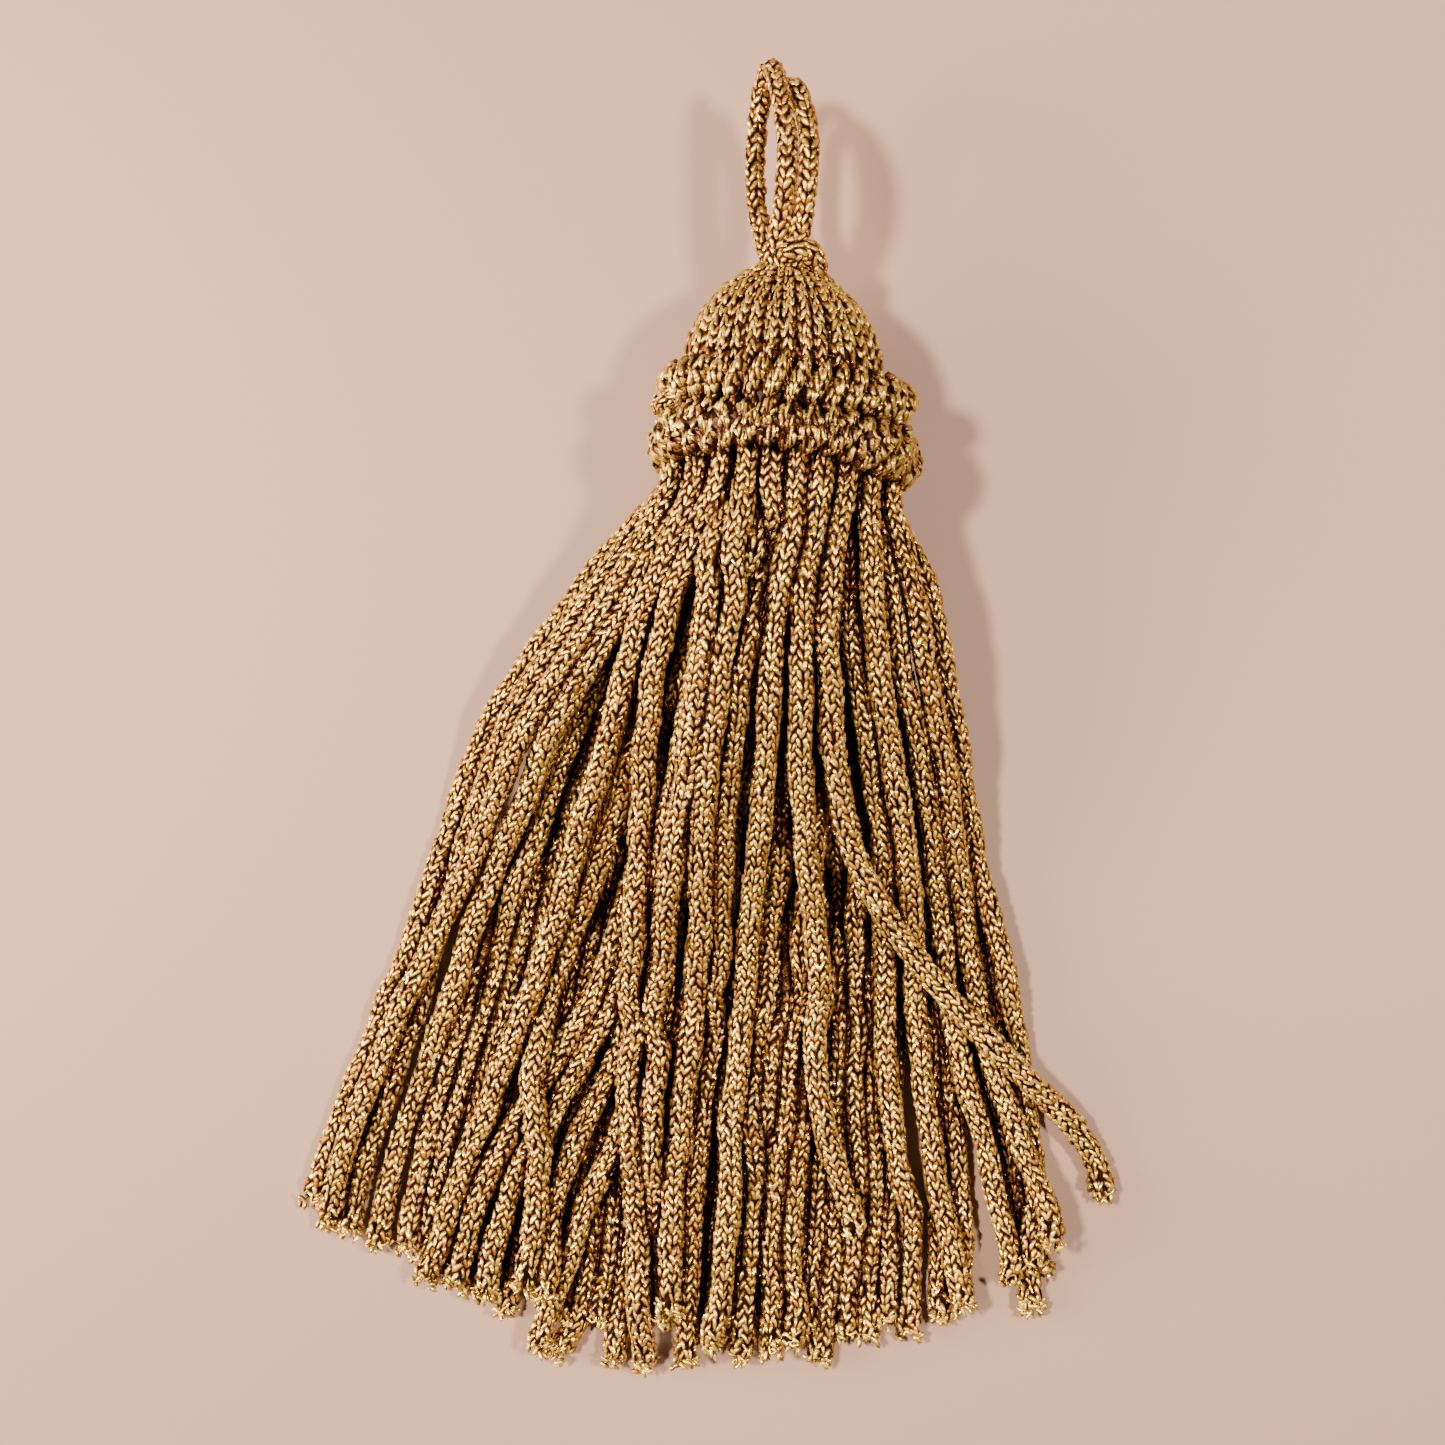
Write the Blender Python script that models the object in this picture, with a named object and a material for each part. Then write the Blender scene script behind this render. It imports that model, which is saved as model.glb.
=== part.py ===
"""A corded tassel lying on a surface: a domed head, a collar of two rolls, a skirt of cut cords and a doubled loop.

The tassel's axis runs along Y, with the loop towards +Y and the skirt towards -Y. X runs across it and the surface
is z = 0. The origin is on the surface, under the lower roll. Sizes are in millimetres, and MM turns them to metres.
"""

import math

import bmesh
import bpy
import numpy as np
from mathutils import Vector
from mathutils.geometry import delaunay_2d_cdt

MM = 0.001
GAP = 0.3

CORD = 2.4
STRAND_SIDE = 1.8
PRESSED = 2.05
STACK_POWER = 5.0

AXIS_Z = 12.8
CORE_RADIUS = 9.2
CORE_TOP_Y = 8.0
NECK_Y = -4.6
NECK_SHOULDER_Y = -3.2
NECK_HALF_WIDTH = 13.4
NECK_HALF_HEIGHT = 11.0
NECK_ROUND = 0.6
NECK_SIDES = 48

RIBS = 26
RIB_STEPS = 4
RIB_POWER = 0.8

HEAD_BASE_Y = 8.3
HEAD_TOP_Y = 19.3
HEAD_RADIUS = 10.4
HEAD_TOP_RADIUS = 2.6
HEAD_LEAN_X = -1.6
HEAD_CURVE = 2.1
HEAD_SHOULDER = 0.75
HEAD_ROWS = 9
HEAD_RIB = 0.5

LOOP_CORD = 1.9
SEED = 7

# The skirt's plan: how far left and right it reaches at each distance below the collar. Columns: y, left, right.
EDGES = (
    (-4.6, -11.8, 11.8),
    (-12.0, -17.4, 16.3),
    (-20.0, -22.2, 18.8),
    (-30.0, -28.6, 22.0),
    (-40.0, -31.6, 24.7),
    (-50.0, -33.6, 28.6),
    (-60.0, -36.3, 31.6),
    (-70.0, -39.5, 33.9),
    (-80.0, -42.0, 36.0),
    (-90.0, -43.4, 37.4),
)

# How far down the strands reach under the pile, across the skirt. Columns: x, y.
HEM = (
    (-43.5, -85.0),
    (-35.0, -89.0),
    (-27.0, -92.0),
    (-10.0, -93.6),
    (8.0, -94.6),
    (20.0, -92.0),
    (28.0, -88.0),
    (36.0, -84.0),
)

# The strands leave the neck in columns, this many to a column, stacked one on another.
NECK_COLUMNS = (3, 5, 6, 7, 7, 7, 7, 6, 5, 3)
COLUMN_PITCH = 2.5
ROW_PITCH = 2.75

# The strands that show on top of the skirt, from left to right: the column of the neck that each leaves and how
# many lie over it there, where it lies across the skirt at each station, and where its end lies. Those of a higher
# lift are laid later, over their neighbours. Columns: column, under, lift, x at each of the stations, end x, end y.
STATIONS = (-12.0, -20.0, -30.0, -40.0, -50.0, -60.0, -70.0, -80.0)
SHOWN = (
    (0, 2, 0, (-17.4, -22.2, -28.6, -31.6, -33.6, -36.4, -39.6, -42.2), -43.4, -84.2),
    (0, 1, 0, (-15.8, -20.6, -26.4, -29.2, -32.0, -33.4, -35.6, -38.2), -39.2, -87.4),
    (0, 0, 1, (-14.0, -18.2, -24.2, -27.4, -30.6, -34.6, -37.8, -40.6), -41.4, -86.6),
    (1, 2, 0, (-11.8, -15.0, -19.4, -21.6, -23.8, -25.6, -28.8, -30.8), -31.4, -89.0),
    (1, 1, 1, (-12.1, -15.9, -21.5, -24.3, -27.8, -29.8, -32.5, -35.1), -35.8, -88.4),
    (1, 0, 2, (-10.8, -13.6, -14.9, -17.4, -19.1, -21.5, -24.4, -27.2), -29.6, -90.8),
    (2, 1, 2, (-8.6, -11.4, -12.4, -14.2, -16.9, -20.0, -20.2, -18.6), -18.4, -90.4),
    (2, 0, 3, (-8.8, -11.0, -11.6, -11.2, -11.0, -10.3, -9.9, -8.4), -5.2, -98.0),
    (2, 2, 1, (-7.0, -8.7, -10.5, -10.6, -12.1, -14.7, -19.9, -24.6), -27.1, -91.4),
    (3, 2, 1, (-5.2, -7.6, -9.3, -9.8, -10.2, -12.2, -16.9, -21.8), -23.6, -92.0),
    (4, 1, 1, (-3.4, -6.2, -7.4, -8.5, -9.2, -9.9, -12.8, -17.2), -17.0, -91.4),
    (3, 3, 0, (-5.0, -6.5, -7.8, -8.2, -8.6, -9.2, -10.8, -13.6), -22.4, -98.2),
    (4, 2, 0, (-3.2, -4.6, -5.6, -6.2, -6.6, -7.2, -9.0, -12.8), -17.4, -97.2),
    (4, 4, 0, (-3.0, -4.2, -5.0, -5.4, -5.8, -6.2, -7.4, -9.8), -14.6, -97.8),
    (3, 1, 1, (-5.2, -6.2, -6.5, -7.3, -8.0, -7.9, -7.5, -6.2), -4.4, -93.0),
    (3, 0, 1, (-3.6, -4.6, -5.0, -4.9, -4.0, -3.7, -4.1, -4.3), -3.8, -91.4),
    (4, 0, 0, (-1.6, -2.2, -2.6, -2.7, -1.8, -1.2, -1.7, -1.8), -1.2, -97.0),
    (5, 0, 1, (0.4, 0.5, 1.0, 1.3, 1.1, 1.6, 1.4, 2.0), 2.0, -95.4),
    (5, 1, 0, (1.6, 2.2, 2.9, 3.5, 3.9, 4.1, 4.0, 4.4), 4.6, -96.6),
    (6, 0, 1, (2.9, 3.4, 4.4, 5.9, 8.5, 9.1, 10.5, 15.4), 16.0, -81.2),
    (6, 1, 0, (4.0, 4.8, 6.3, 7.4, 6.9, 7.0, 6.9, 7.6), 8.5, -95.6),
    (7, 3, 0, (5.4, 6.5, 7.8, 8.7, 9.2, 9.6, 9.8, 9.8), 9.9, -95.8),
    (7, 0, 3, (5.3, 6.0, 7.8, 10.4, 17.2, 27.6, 40.6, 45.6), 43.0, -74.8),
    (7, 2, 0, (6.2, 7.7, 10.0, 12.6, 13.0, 14.0, 15.3, 14.8), 13.9, -93.4),
    (7, 1, 1, (7.6, 8.9, 11.8, 14.6, 15.9, 17.0, 18.5, 21.5), 23.2, -92.0),
    (8, 0, 1, (9.9, 11.2, 14.0, 17.0, 19.2, 20.4, 22.6, 25.3), 28.6, -88.6),
    (8, 2, 0, (10.3, 12.4, 16.3, 19.3, 22.4, 25.8, 29.6, 33.8), 39.6, -87.8),
    (8, 1, 1, (12.2, 13.8, 17.4, 20.1, 22.5, 24.4, 28.4, 31.8), 33.8, -85.4),
    (9, 0, 1, (14.3, 16.3, 19.8, 22.5, 25.1, 27.7, 32.3, 37.5), 37.2, -79.8),
    (9, 1, 1, (16.3, 18.6, 21.9, 24.6, 28.6, 31.6, 34.1, 35.3), 35.6, -83.4),
)

# The strands under them, row by row from the lowest: how far each row is shifted sideways, as a share of the room
# between two strands, how wide it spreads, and how much its strands wander. Columns: shift, spread, wander.
HIDDEN = (
    (0.0, 1.04, 0.5),
    (0.34, 1.0, 0.6),
    (-0.34, 0.98, 0.7),
    (0.15, 0.95, 0.8),
    (-0.2, 0.95, 0.8),
    (0.4, 0.95, 0.8),
    (0.0, 0.95, 0.8),
)
SPREAD_LENGTH = 16.0
WANDER_LENGTHS = (38.0, 62.0)
HEM_NEAR_Y = -92.0
END_SPREAD = (-1.5, 2.5)
LAST_STATION_ROOM = 3.0

LAY_STEP = 1.0
LAY_END = -100.5
FALL_RADIUS = 62.0
STEEPEST = 0.42
LIFT_ORDER = 100.0
PATH_SMOOTHING = 4
HEIGHT_SMOOTHING = 2
PACK_STEPS = 120
SETTLE_STEPS = 70
DRAW_SHARE = 0.12
SINK = 0.12
RISE_LENGTH = 6.0
PILE_TOP = 22.4
LOW_PILE = 5.2
HIDDEN_DEPTH = 4.2
SWEEPS = 14
SWEEP_STEPS = 14
PUSH_SHARE = 0.3
MESH_STATIONS = 15
FLAT_EPSILON = 1e-5

LOWER_ROLL = {
    "middle_y": 0.1,
    "half_length": 2.85,
    "half_width": 14.0,
    "half_height": 13.2,
    "rib": 0.45,
    "slant_deg": 9.0,
    "slip": 0.0,
}
UPPER_ROLL = {
    "middle_y": 5.7,
    "half_length": 2.25,
    "half_width": 12.9,
    "half_height": 12.2,
    "rib": 0.75,
    "slant_deg": 0.0,
    "slip": 1.0,
}
ROLL_ARC_DEG = (-84.0, -56.0, -28.0, 0.0, 28.0, 56.0, 84.0)
ROLL_ROUNDNESS = 0.62
ROLL_FOOT = 0.86
SLIP_WIDTH = 0.22

# The hanging loop's two turns, from the end of the upper leg over the bend to the end of the lower one, as x, y, z.
# The right turn's lower leg lies under its upper one.
LOOP_LEFT = (
    (-2.95, 20.15, 14.7),
    (-2.80, 22.2, 16.0),
    (-2.60, 27.0, 18.0),
    (-2.95, 31.5, 18.2),
    (-4.10, 36.2, 16.9),
    (-5.15, 39.3, 14.4),
    (-5.95, 37.3, 11.6),
    (-6.10, 32.5, 9.9),
    (-5.65, 27.5, 9.6),
    (-4.50, 23.0, 10.4),
    (-3.40, 20.1, 11.2),
)
LOOP_RIGHT = (
    (-0.75, 20.05, 14.7),
    (-0.60, 22.1, 16.0),
    (-0.35, 26.8, 18.1),
    (-0.70, 31.3, 18.3),
    (-1.75, 35.3, 16.8),
    (-2.95, 37.6, 14.2),
    (-3.40, 36.0, 11.6),
    (-2.70, 32.4, 10.0),
    (-2.20, 27.4, 9.7),
    (-1.60, 23.0, 10.4),
    (-1.15, 20.05, 11.2),
)
LOOP_POINTS = 40
ROUTE_STEPS = 12

# The knot's end, a short turn round the right side of the loop's foot, as x, y, z.
HITCH = (
    (0.75, 20.75, 10.4),
    (1.65, 20.75, 12.0),
    (1.95, 20.6, 14.0),
    (1.55, 20.5, 15.8),
    (0.65, 20.6, 17.3),
)
HITCH_CORD = 1.7
HITCH_POINTS = 12
CORD_ROUNDNESS = 2

GOLD = (0.58, 0.36, 0.11, 1.0)
GOLD_ROUGHNESS = 0.42
GOLD_METALLIC = 0.75
HEAD_SHADE = 1.0
LOWER_ROLL_SHADE = 1.12
UPPER_ROLL_SHADE = 1.05
LOOP_SHADE = 0.95


def clear_scene():
    for item in list(bpy.data.objects):
        bpy.data.objects.remove(item, do_unlink=True)


def gold(name, shade=1.0):
    """A gold yarn material, a little lighter or darker for each piece."""
    material = bpy.data.materials.new(name)
    material.use_nodes = True
    shader = material.node_tree.nodes["Principled BSDF"]
    shader.inputs["Base Color"].default_value = [c * shade for c in GOLD[:3]] + [1.0]
    shader.inputs["Roughness"].default_value = GOLD_ROUGHNESS
    shader.inputs["Metallic"].default_value = GOLD_METALLIC
    return material


def finish_mesh(name, bm, shade=1.0):
    """Turns the millimetres to metres and makes the object, with its faces pointing out."""
    bmesh.ops.scale(bm, vec=(MM, MM, MM), verts=bm.verts)
    bmesh.ops.recalc_face_normals(bm, faces=bm.faces)
    mesh = bpy.data.meshes.new(name)
    bm.to_mesh(mesh)
    bm.free()
    mesh.materials.append(gold(name + "_yarn", shade))
    item = bpy.data.objects.new(name, mesh)
    bpy.context.scene.collection.objects.link(item)
    return item


# The skirt


def smoothed(values, passes):
    """A row of values with its corners rounded, its ends kept."""
    for _ in range(passes):
        inner = 0.25 * values[:-2] + 0.5 * values[1:-1] + 0.25 * values[2:]
        values = np.concatenate([values[:1], inner, values[-1:]])
    return values


def neck_point(column, row):
    """Where a strand leaves the neck: its place in one of the columns, counted from the lowest row."""
    x = (column - 0.5 * (len(NECK_COLUMNS) - 1)) * COLUMN_PITCH
    return x, AXIS_Z + (row - 0.5 * (NECK_COLUMNS[column] - 1)) * ROW_PITCH


def shown_plans(lay_y):
    """(order of laying, root x, root z, x all along, end y, depth under the top) of the strands that show."""
    plans = []
    for column, under, lift, across, end_x, end_y in SHOWN:
        root_x, root_z = neck_point(column, NECK_COLUMNS[column] - 1 - under)
        known = [(NECK_Y, root_x)]
        known += [(y, x) for y, x in zip(STATIONS, across) if y > end_y + LAST_STATION_ROOM]
        known += [(end_y, end_x)]
        ys, xs = np.array(known[::-1]).T
        path = smoothed(np.interp(lay_y, ys, xs), PATH_SMOOTHING)
        plans.append((LIFT_ORDER * lift + root_z, root_x, root_z, path, end_y, 0.0))
    return plans


def hidden_plans(lay_y, chance):
    """The same for the strands under them, spread between the skirt's edges."""
    edge_y, left, right = np.array(EDGES[::-1]).T
    left = np.interp(lay_y, edge_y, left)
    right = np.interp(lay_y, edge_y, right)
    hem_x, hem_y = np.array(HEM).T
    begun = np.clip((NECK_Y - lay_y) / SPREAD_LENGTH, 0.0, 1.0)
    begun = begun * begun * (3.0 - 2.0 * begun)
    shown = {(row[0], NECK_COLUMNS[row[0]] - 1 - row[1]) for row in SHOWN}
    plans = []
    for row, (shift, spread, wander) in enumerate(HIDDEN):
        columns = [c for c, rows in enumerate(NECK_COLUMNS) if row < rows and (c, row) not in shown]
        for column in columns:
            root_x, root_z = neck_point(column, row)
            share = spread * (2.0 * (column + 0.5 + shift) / len(NECK_COLUMNS) - 1.0)
            target = 0.5 * (left + right) + 0.5 * share * (right - left)
            swing = np.sin(2.0 * math.pi * (lay_y / chance.uniform(*WANDER_LENGTHS) + chance.uniform()))
            path = root_x + (target - root_x) * begun + wander * swing * begun
            near_hem = path[np.searchsorted(-lay_y, -HEM_NEAR_Y)]
            end_y = float(np.interp(near_hem, hem_x, hem_y)) + chance.uniform(*END_SPREAD)
            plans.append((root_z, root_x, root_z, smoothed(path, PATH_SMOOTHING), end_y, HIDDEN_DEPTH))
    return plans


def push_apart(x, z, there):
    """Moves the cords of a section off each other, each pair by equal shares, where both are there."""
    across = x[:, None] - x[None, :]
    up = z[:, None] - z[None, :]
    near = (np.abs(across) ** STACK_POWER + np.abs(up) ** STACK_POWER) ** (1.0 / STACK_POWER)
    near[np.arange(len(x)), np.arange(len(x))] = PRESSED
    overlap = np.clip(PRESSED - near, 0.0, None) * PUSH_SHARE * (there[:, None] & there[None, :])
    reach = np.hypot(across, up) + FLAT_EPSILON
    x = x + (overlap * across / reach).sum(axis=1)
    z = z + (overlap * up / reach).sum(axis=1)
    return x, np.maximum(z, CORD / 2.0)


def pack_under(plans, fallen):
    """The strands under the top ones: section by section they draw towards their places, sink and push apart."""
    x = np.array([plan[1] for plan in plans])
    z = np.array([plan[2] for plan in plans])
    root_z = z.copy()
    wanted = np.array([plan[3] for plan in plans])
    there = np.ones(len(plans), bool)
    packed = [(x, z)]
    for station in range(1, wanted.shape[1]):
        lowest = np.maximum(CORD / 2.0, root_z - fallen[station])
        for step in range(PACK_STEPS):
            if step < PACK_STEPS - SETTLE_STEPS:
                x = x + DRAW_SHARE * (wanted[:, station] - x)
                z = np.maximum(z - SINK, lowest)
            x, z = push_apart(x, z, there)
        packed.append((x, z))
    along_x = np.array([place[0] for place in packed]).T
    along_z = np.array([place[1] for place in packed]).T
    return [
        (smoothed(x, HEIGHT_SMOOTHING), smoothed(z, HEIGHT_SMOOTHING), *plan[4:])
        for x, z, plan in zip(along_x, along_z, plans)
    ]


def lay_over(plan, laid, lay_y, fallen):
    """A strand on top: it follows its own path and lies on those laid before it."""
    _, _, root_z, path, end_y, depth = plan
    height = np.maximum(CORD / 2.0, root_z - fallen)
    for other_path, other_height, other_end, _ in laid:
        beside = np.abs(path - other_path) / PRESSED
        over = PRESSED * np.clip(1.0 - beside**STACK_POWER, 0.0, 1.0) ** (1.0 / STACK_POWER)
        rest = np.where((beside < 1.0) & (lay_y > other_end), other_height + over, 0.0)
        height = np.maximum(height, rest)
    apart = STEEPEST * np.abs(lay_y[:, None] - lay_y[None, :])
    height = (height[None, :] - apart).max(axis=1)
    rise = np.clip((NECK_Y - lay_y) / RISE_LENGTH, 0.0, 1.0)
    height = root_z - fallen + (height - root_z + fallen) * rise
    return path, smoothed(height, HEIGHT_SMOOTHING), end_y, depth


def separate(laid, lay_y, fallen):
    """All the strands together: where any still meet they push apart, and none rises over the pile's top."""
    path = np.array([strand[0] for strand in laid])
    height = np.array([strand[1] for strand in laid])
    there = lay_y > np.array([strand[2] for strand in laid])[:, None] - 2.0 * LAY_STEP
    depth = np.array([strand[3] for strand in laid])[:, None]
    ceiling = np.maximum(PILE_TOP - fallen - depth, LOW_PILE - np.minimum(depth, PRESSED))
    root = path[:, 0].copy(), height[:, 0].copy()
    for sweep in range(SWEEPS):
        for _ in range(SWEEP_STEPS):
            height = np.minimum(height, ceiling)
            path, height = push_apart(path, height, there)
            path[:, 0], height[:, 0] = root
        if sweep < SWEEPS - 1:
            path = np.array([smoothed(row, 1) for row in path])
            height = np.array([smoothed(row, 1) for row in height])
    return [(x, z, strand[2]) for x, z, strand in zip(path, height, laid)]


def lay_strands():
    """Each strand's centre line, from the neck to its end, as rows of x, y and z."""
    chance = np.random.default_rng(SEED)
    lay_y = np.arange(NECK_Y, LAY_END, -LAY_STEP)
    bent = np.minimum(NECK_Y - lay_y, STEEPEST * FALL_RADIUS)
    fallen = bent * (NECK_Y - lay_y - bent / 2.0) / FALL_RADIUS
    plans = hidden_plans(lay_y, chance) + shown_plans(lay_y)
    plans.sort(key=lambda plan: plan[0])
    under = [plan for plan in plans if plan[0] < LIFT_ORDER]
    laid = pack_under(under, fallen)
    for plan in plans[len(under) :]:
        laid.append(lay_over(plan, laid, lay_y, fallen))
    laid = separate(laid, lay_y, fallen)
    return [
        np.column_stack([path, lay_y, height])[lay_y > end_y - LAY_STEP]
        for path, height, end_y in laid
    ]


def section(x, y, z):
    """The four corners of a strand, level, with its underside half a cord below its centre line."""
    half = STRAND_SIDE / 2.0
    low = z - CORD / 2.0
    return [
        Vector((x - half, y, low)),
        Vector((x + half, y, low)),
        Vector((x + half, y, low + STRAND_SIDE)),
        Vector((x - half, y, low + STRAND_SIDE)),
    ]


def ellipse(half_width, half_height, count):
    """Points round the tassel's axis, as (x, z)."""
    turns = [2.0 * math.pi * i / count for i in range(count)]
    return [(half_width * math.cos(t), AXIS_Z + half_height * math.sin(t)) for t in turns]


def bridge(bm, ring, other):
    """Joins two rings of as many points with a band of faces."""
    for i in range(len(ring)):
        j = (i + 1) % len(ring)
        bm.faces.new((ring[i], ring[j], other[j], other[i]))


def new_ring(bm, points):
    return [bm.verts.new(point) for point in points]


def build_skirt():
    """The neck's face is laid out with a square for each strand, and each square is drawn out along its strand."""
    lines = lay_strands()
    rim = [Vector(point) for point in ellipse(NECK_HALF_WIDTH, NECK_HALF_HEIGHT, NECK_SIDES)]
    outlines = [list(range(NECK_SIDES))]
    flat = list(rim)
    for line in lines:
        corners = section(*line[0])
        outlines.append(list(range(len(flat), len(flat) + len(corners))))
        flat += [Vector((corner.x, corner.z)) for corner in corners]
    points, _, triangles, sources, _, owners = delaunay_2d_cdt(flat, [], outlines, 1, FLAT_EPSILON)
    bm = bmesh.new()
    verts = new_ring(bm, [(point.x, NECK_Y, point.y) for point in points])
    at = {source: vert for vert, found in zip(verts, sources) for source in found}
    for corners, owner in zip(triangles, owners):
        if max(owner) == 0:
            bm.faces.new([verts[i] for i in corners])
    for line, outline in zip(lines, outlines[1:]):
        draw_strand(bm, [at[i] for i in outline], line)
    draw_core(bm, [at[i] for i in outlines[0]])
    return finish_mesh("skirt", bm)


def draw_strand(bm, ring, line):
    counted = np.arange(len(line))
    for stop in np.linspace(0.0, len(line) - 1.0, MESH_STATIONS)[1:]:
        place = [np.interp(stop, counted, line[:, axis]) for axis in range(3)]
        following = new_ring(bm, section(*place))
        bridge(bm, ring, following)
        ring = following
    bm.faces.new(ring)


def draw_core(bm, ring):
    """The neck steps in to a core, which carries both rolls."""
    steps = (
        (NECK_SHOULDER_Y, NECK_HALF_WIDTH - NECK_ROUND, NECK_HALF_HEIGHT - NECK_ROUND),
        (NECK_SHOULDER_Y, CORE_RADIUS, CORE_RADIUS),
        (CORE_TOP_Y, CORE_RADIUS, CORE_RADIUS),
    )
    for y, half_width, half_height in steps:
        outline = ellipse(half_width, half_height, NECK_SIDES)
        following = new_ring(bm, [(x, y, z) for x, z in outline])
        bridge(bm, ring, following)
        ring = following
    bm.faces.new(ring)


# The collar and the head


def rib_at(turn):
    """How far a cord stands out round the tassel, from 0 in the seam between two cords to 1 on top of one."""
    return abs(math.sin(0.5 * RIBS * turn)) ** RIB_POWER


def roll_section(spec, turn):
    """A roll's section at one angle round the axis, as points in the plane of the axis."""
    across = math.cos(turn) / spec["half_width"]
    up = math.sin(turn) / spec["half_height"]
    outer = 1.0 / math.hypot(across, up)
    inner = CORE_RADIUS + GAP
    slip = spec["slip"] * math.exp(-(((turn - math.pi) / SLIP_WIDTH) ** 2))
    section_points = []
    for degrees in ROLL_ARC_DEG:
        arc = math.radians(degrees)
        rib = spec["rib"] * (rib_at(turn + math.radians(spec["slant_deg"]) * math.sin(arc)) - 0.5)
        thickness = (outer + rib + slip - inner) * math.cos(arc) ** ROLL_ROUNDNESS
        y = spec["middle_y"] + spec["half_length"] * math.sin(arc) - slip * math.cos(arc)
        section_points.append((y, inner + thickness))
    foot = ROLL_FOOT * spec["half_length"]
    section_points.append((spec["middle_y"] + foot, inner))
    section_points.append((spec["middle_y"] - foot, inner))
    return section_points


def build_roll(name, spec, shade):
    """A ring of cords bulging round the core, pressed level where it rests on the surface."""
    bm = bmesh.new()
    sections = []
    for step in range(RIBS * RIB_STEPS):
        turn = 2.0 * math.pi * step / (RIBS * RIB_STEPS)
        ring = []
        for y, r in roll_section(spec, turn):
            height = AXIS_Z + r * math.sin(turn)
            ring.append((r * math.cos(turn), y, max(0.0, height)))
        sections.append(new_ring(bm, ring))
    for ring, following in zip(sections, sections[1:] + sections[:1]):
        bridge(bm, ring, following)
    return finish_mesh(name, bm, shade)


def build_head():
    """The dome: cords side by side from the collar to the crown, in one ribbed solid."""
    bm = bmesh.new()
    rings = []
    for row in range(HEAD_ROWS):
        rise = math.sin(0.5 * math.pi * row / (HEAD_ROWS - 1))
        swell = (1.0 - rise**HEAD_CURVE) ** HEAD_SHOULDER
        radius = HEAD_TOP_RADIUS + (HEAD_RADIUS - HEAD_TOP_RADIUS) * swell
        y = HEAD_BASE_Y + (HEAD_TOP_Y - HEAD_BASE_Y) * rise
        middle = HEAD_LEAN_X * rise * rise
        ring = []
        for step in range(RIBS * RIB_STEPS):
            turn = 2.0 * math.pi * step / (RIBS * RIB_STEPS)
            r = radius * (1.0 + HEAD_RIB / HEAD_RADIUS * (rib_at(turn) - 0.5))
            ring.append((middle + r * math.cos(turn), y, AXIS_Z + r * math.sin(turn)))
        rings.append(new_ring(bm, ring))
    for ring, following in zip(rings, rings[1:]):
        bridge(bm, ring, following)
    bm.faces.new(rings[0])
    bm.faces.new(rings[-1])
    return finish_mesh("head", bm, HEAD_SHADE)


# The hanging loop and its hitch


def smooth_route(points, count):
    """As many points as asked, evenly spaced along a smooth curve through the given ones."""
    known = np.array(points, float)
    padded = np.vstack([2 * known[0] - known[1], known, 2 * known[-1] - known[-2]])
    fine = []
    for i in range(len(known) - 1):
        p0, p1, p2, p3 = padded[i : i + 4]
        for t in np.arange(0.0, 1.0, 1.0 / ROUTE_STEPS):
            bend = (2 * p0 - 5 * p1 + 4 * p2 - p3) * t * t + (3 * p1 - p0 - 3 * p2 + p3) * t**3
            fine.append(0.5 * (2 * p1 + (p2 - p0) * t + bend))
    fine.append(known[-1])
    fine = np.array(fine)
    along = np.concatenate([[0.0], np.cumsum(np.linalg.norm(np.diff(fine, axis=0), axis=1))])
    wanted = np.linspace(0.0, along[-1], count)
    return np.column_stack([np.interp(wanted, along, fine[:, axis]) for axis in range(3)])


def build_cord(name, points, count, diameter, shade):
    """A round cord as a bevelled curve with closed ends."""
    curve = bpy.data.curves.new(name, "CURVE")
    curve.dimensions = "3D"
    curve.bevel_depth = 0.5 * diameter * MM
    curve.bevel_resolution = CORD_ROUNDNESS
    curve.use_fill_caps = True
    spline = curve.splines.new("POLY")
    route = smooth_route(points, count) * MM
    spline.points.add(count - 1)
    for point, place in zip(spline.points, route):
        point.co = (*place, 1.0)
    curve.materials.append(gold(name + "_yarn", shade))
    item = bpy.data.objects.new(name, curve)
    bpy.context.scene.collection.objects.link(item)
    return item


def main():
    clear_scene()
    build_skirt()
    build_roll("lower_roll", LOWER_ROLL, LOWER_ROLL_SHADE)
    build_roll("upper_roll", UPPER_ROLL, UPPER_ROLL_SHADE)
    build_head()
    build_cord("loop_left", LOOP_LEFT, LOOP_POINTS, LOOP_CORD, LOOP_SHADE)
    build_cord("loop_right", LOOP_RIGHT, LOOP_POINTS, LOOP_CORD, LOOP_SHADE)
    build_cord("hitch", HITCH, HITCH_POINTS, HITCH_CORD, LOOP_SHADE)


main()
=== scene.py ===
# %% [markdown]
# # A gold corded tassel
# The tassel lies on a pale floor: a domed head, a collar of two rolls of cord, a skirt of cut cords fanned out and
# a doubled hanging loop. All of it is one kind of cord, knitted in gold yarn, so the scene makes one knitted stitch
# well and then lays it along every surface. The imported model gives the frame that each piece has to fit.

# %% Load the frame
import math

import bpy
import numpy as np
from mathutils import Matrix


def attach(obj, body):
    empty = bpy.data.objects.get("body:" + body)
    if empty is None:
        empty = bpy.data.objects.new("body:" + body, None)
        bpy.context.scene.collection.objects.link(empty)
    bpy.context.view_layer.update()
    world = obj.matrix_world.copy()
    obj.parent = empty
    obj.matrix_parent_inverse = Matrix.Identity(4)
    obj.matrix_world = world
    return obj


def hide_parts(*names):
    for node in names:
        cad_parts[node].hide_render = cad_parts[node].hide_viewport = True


MM = 0.001

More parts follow.
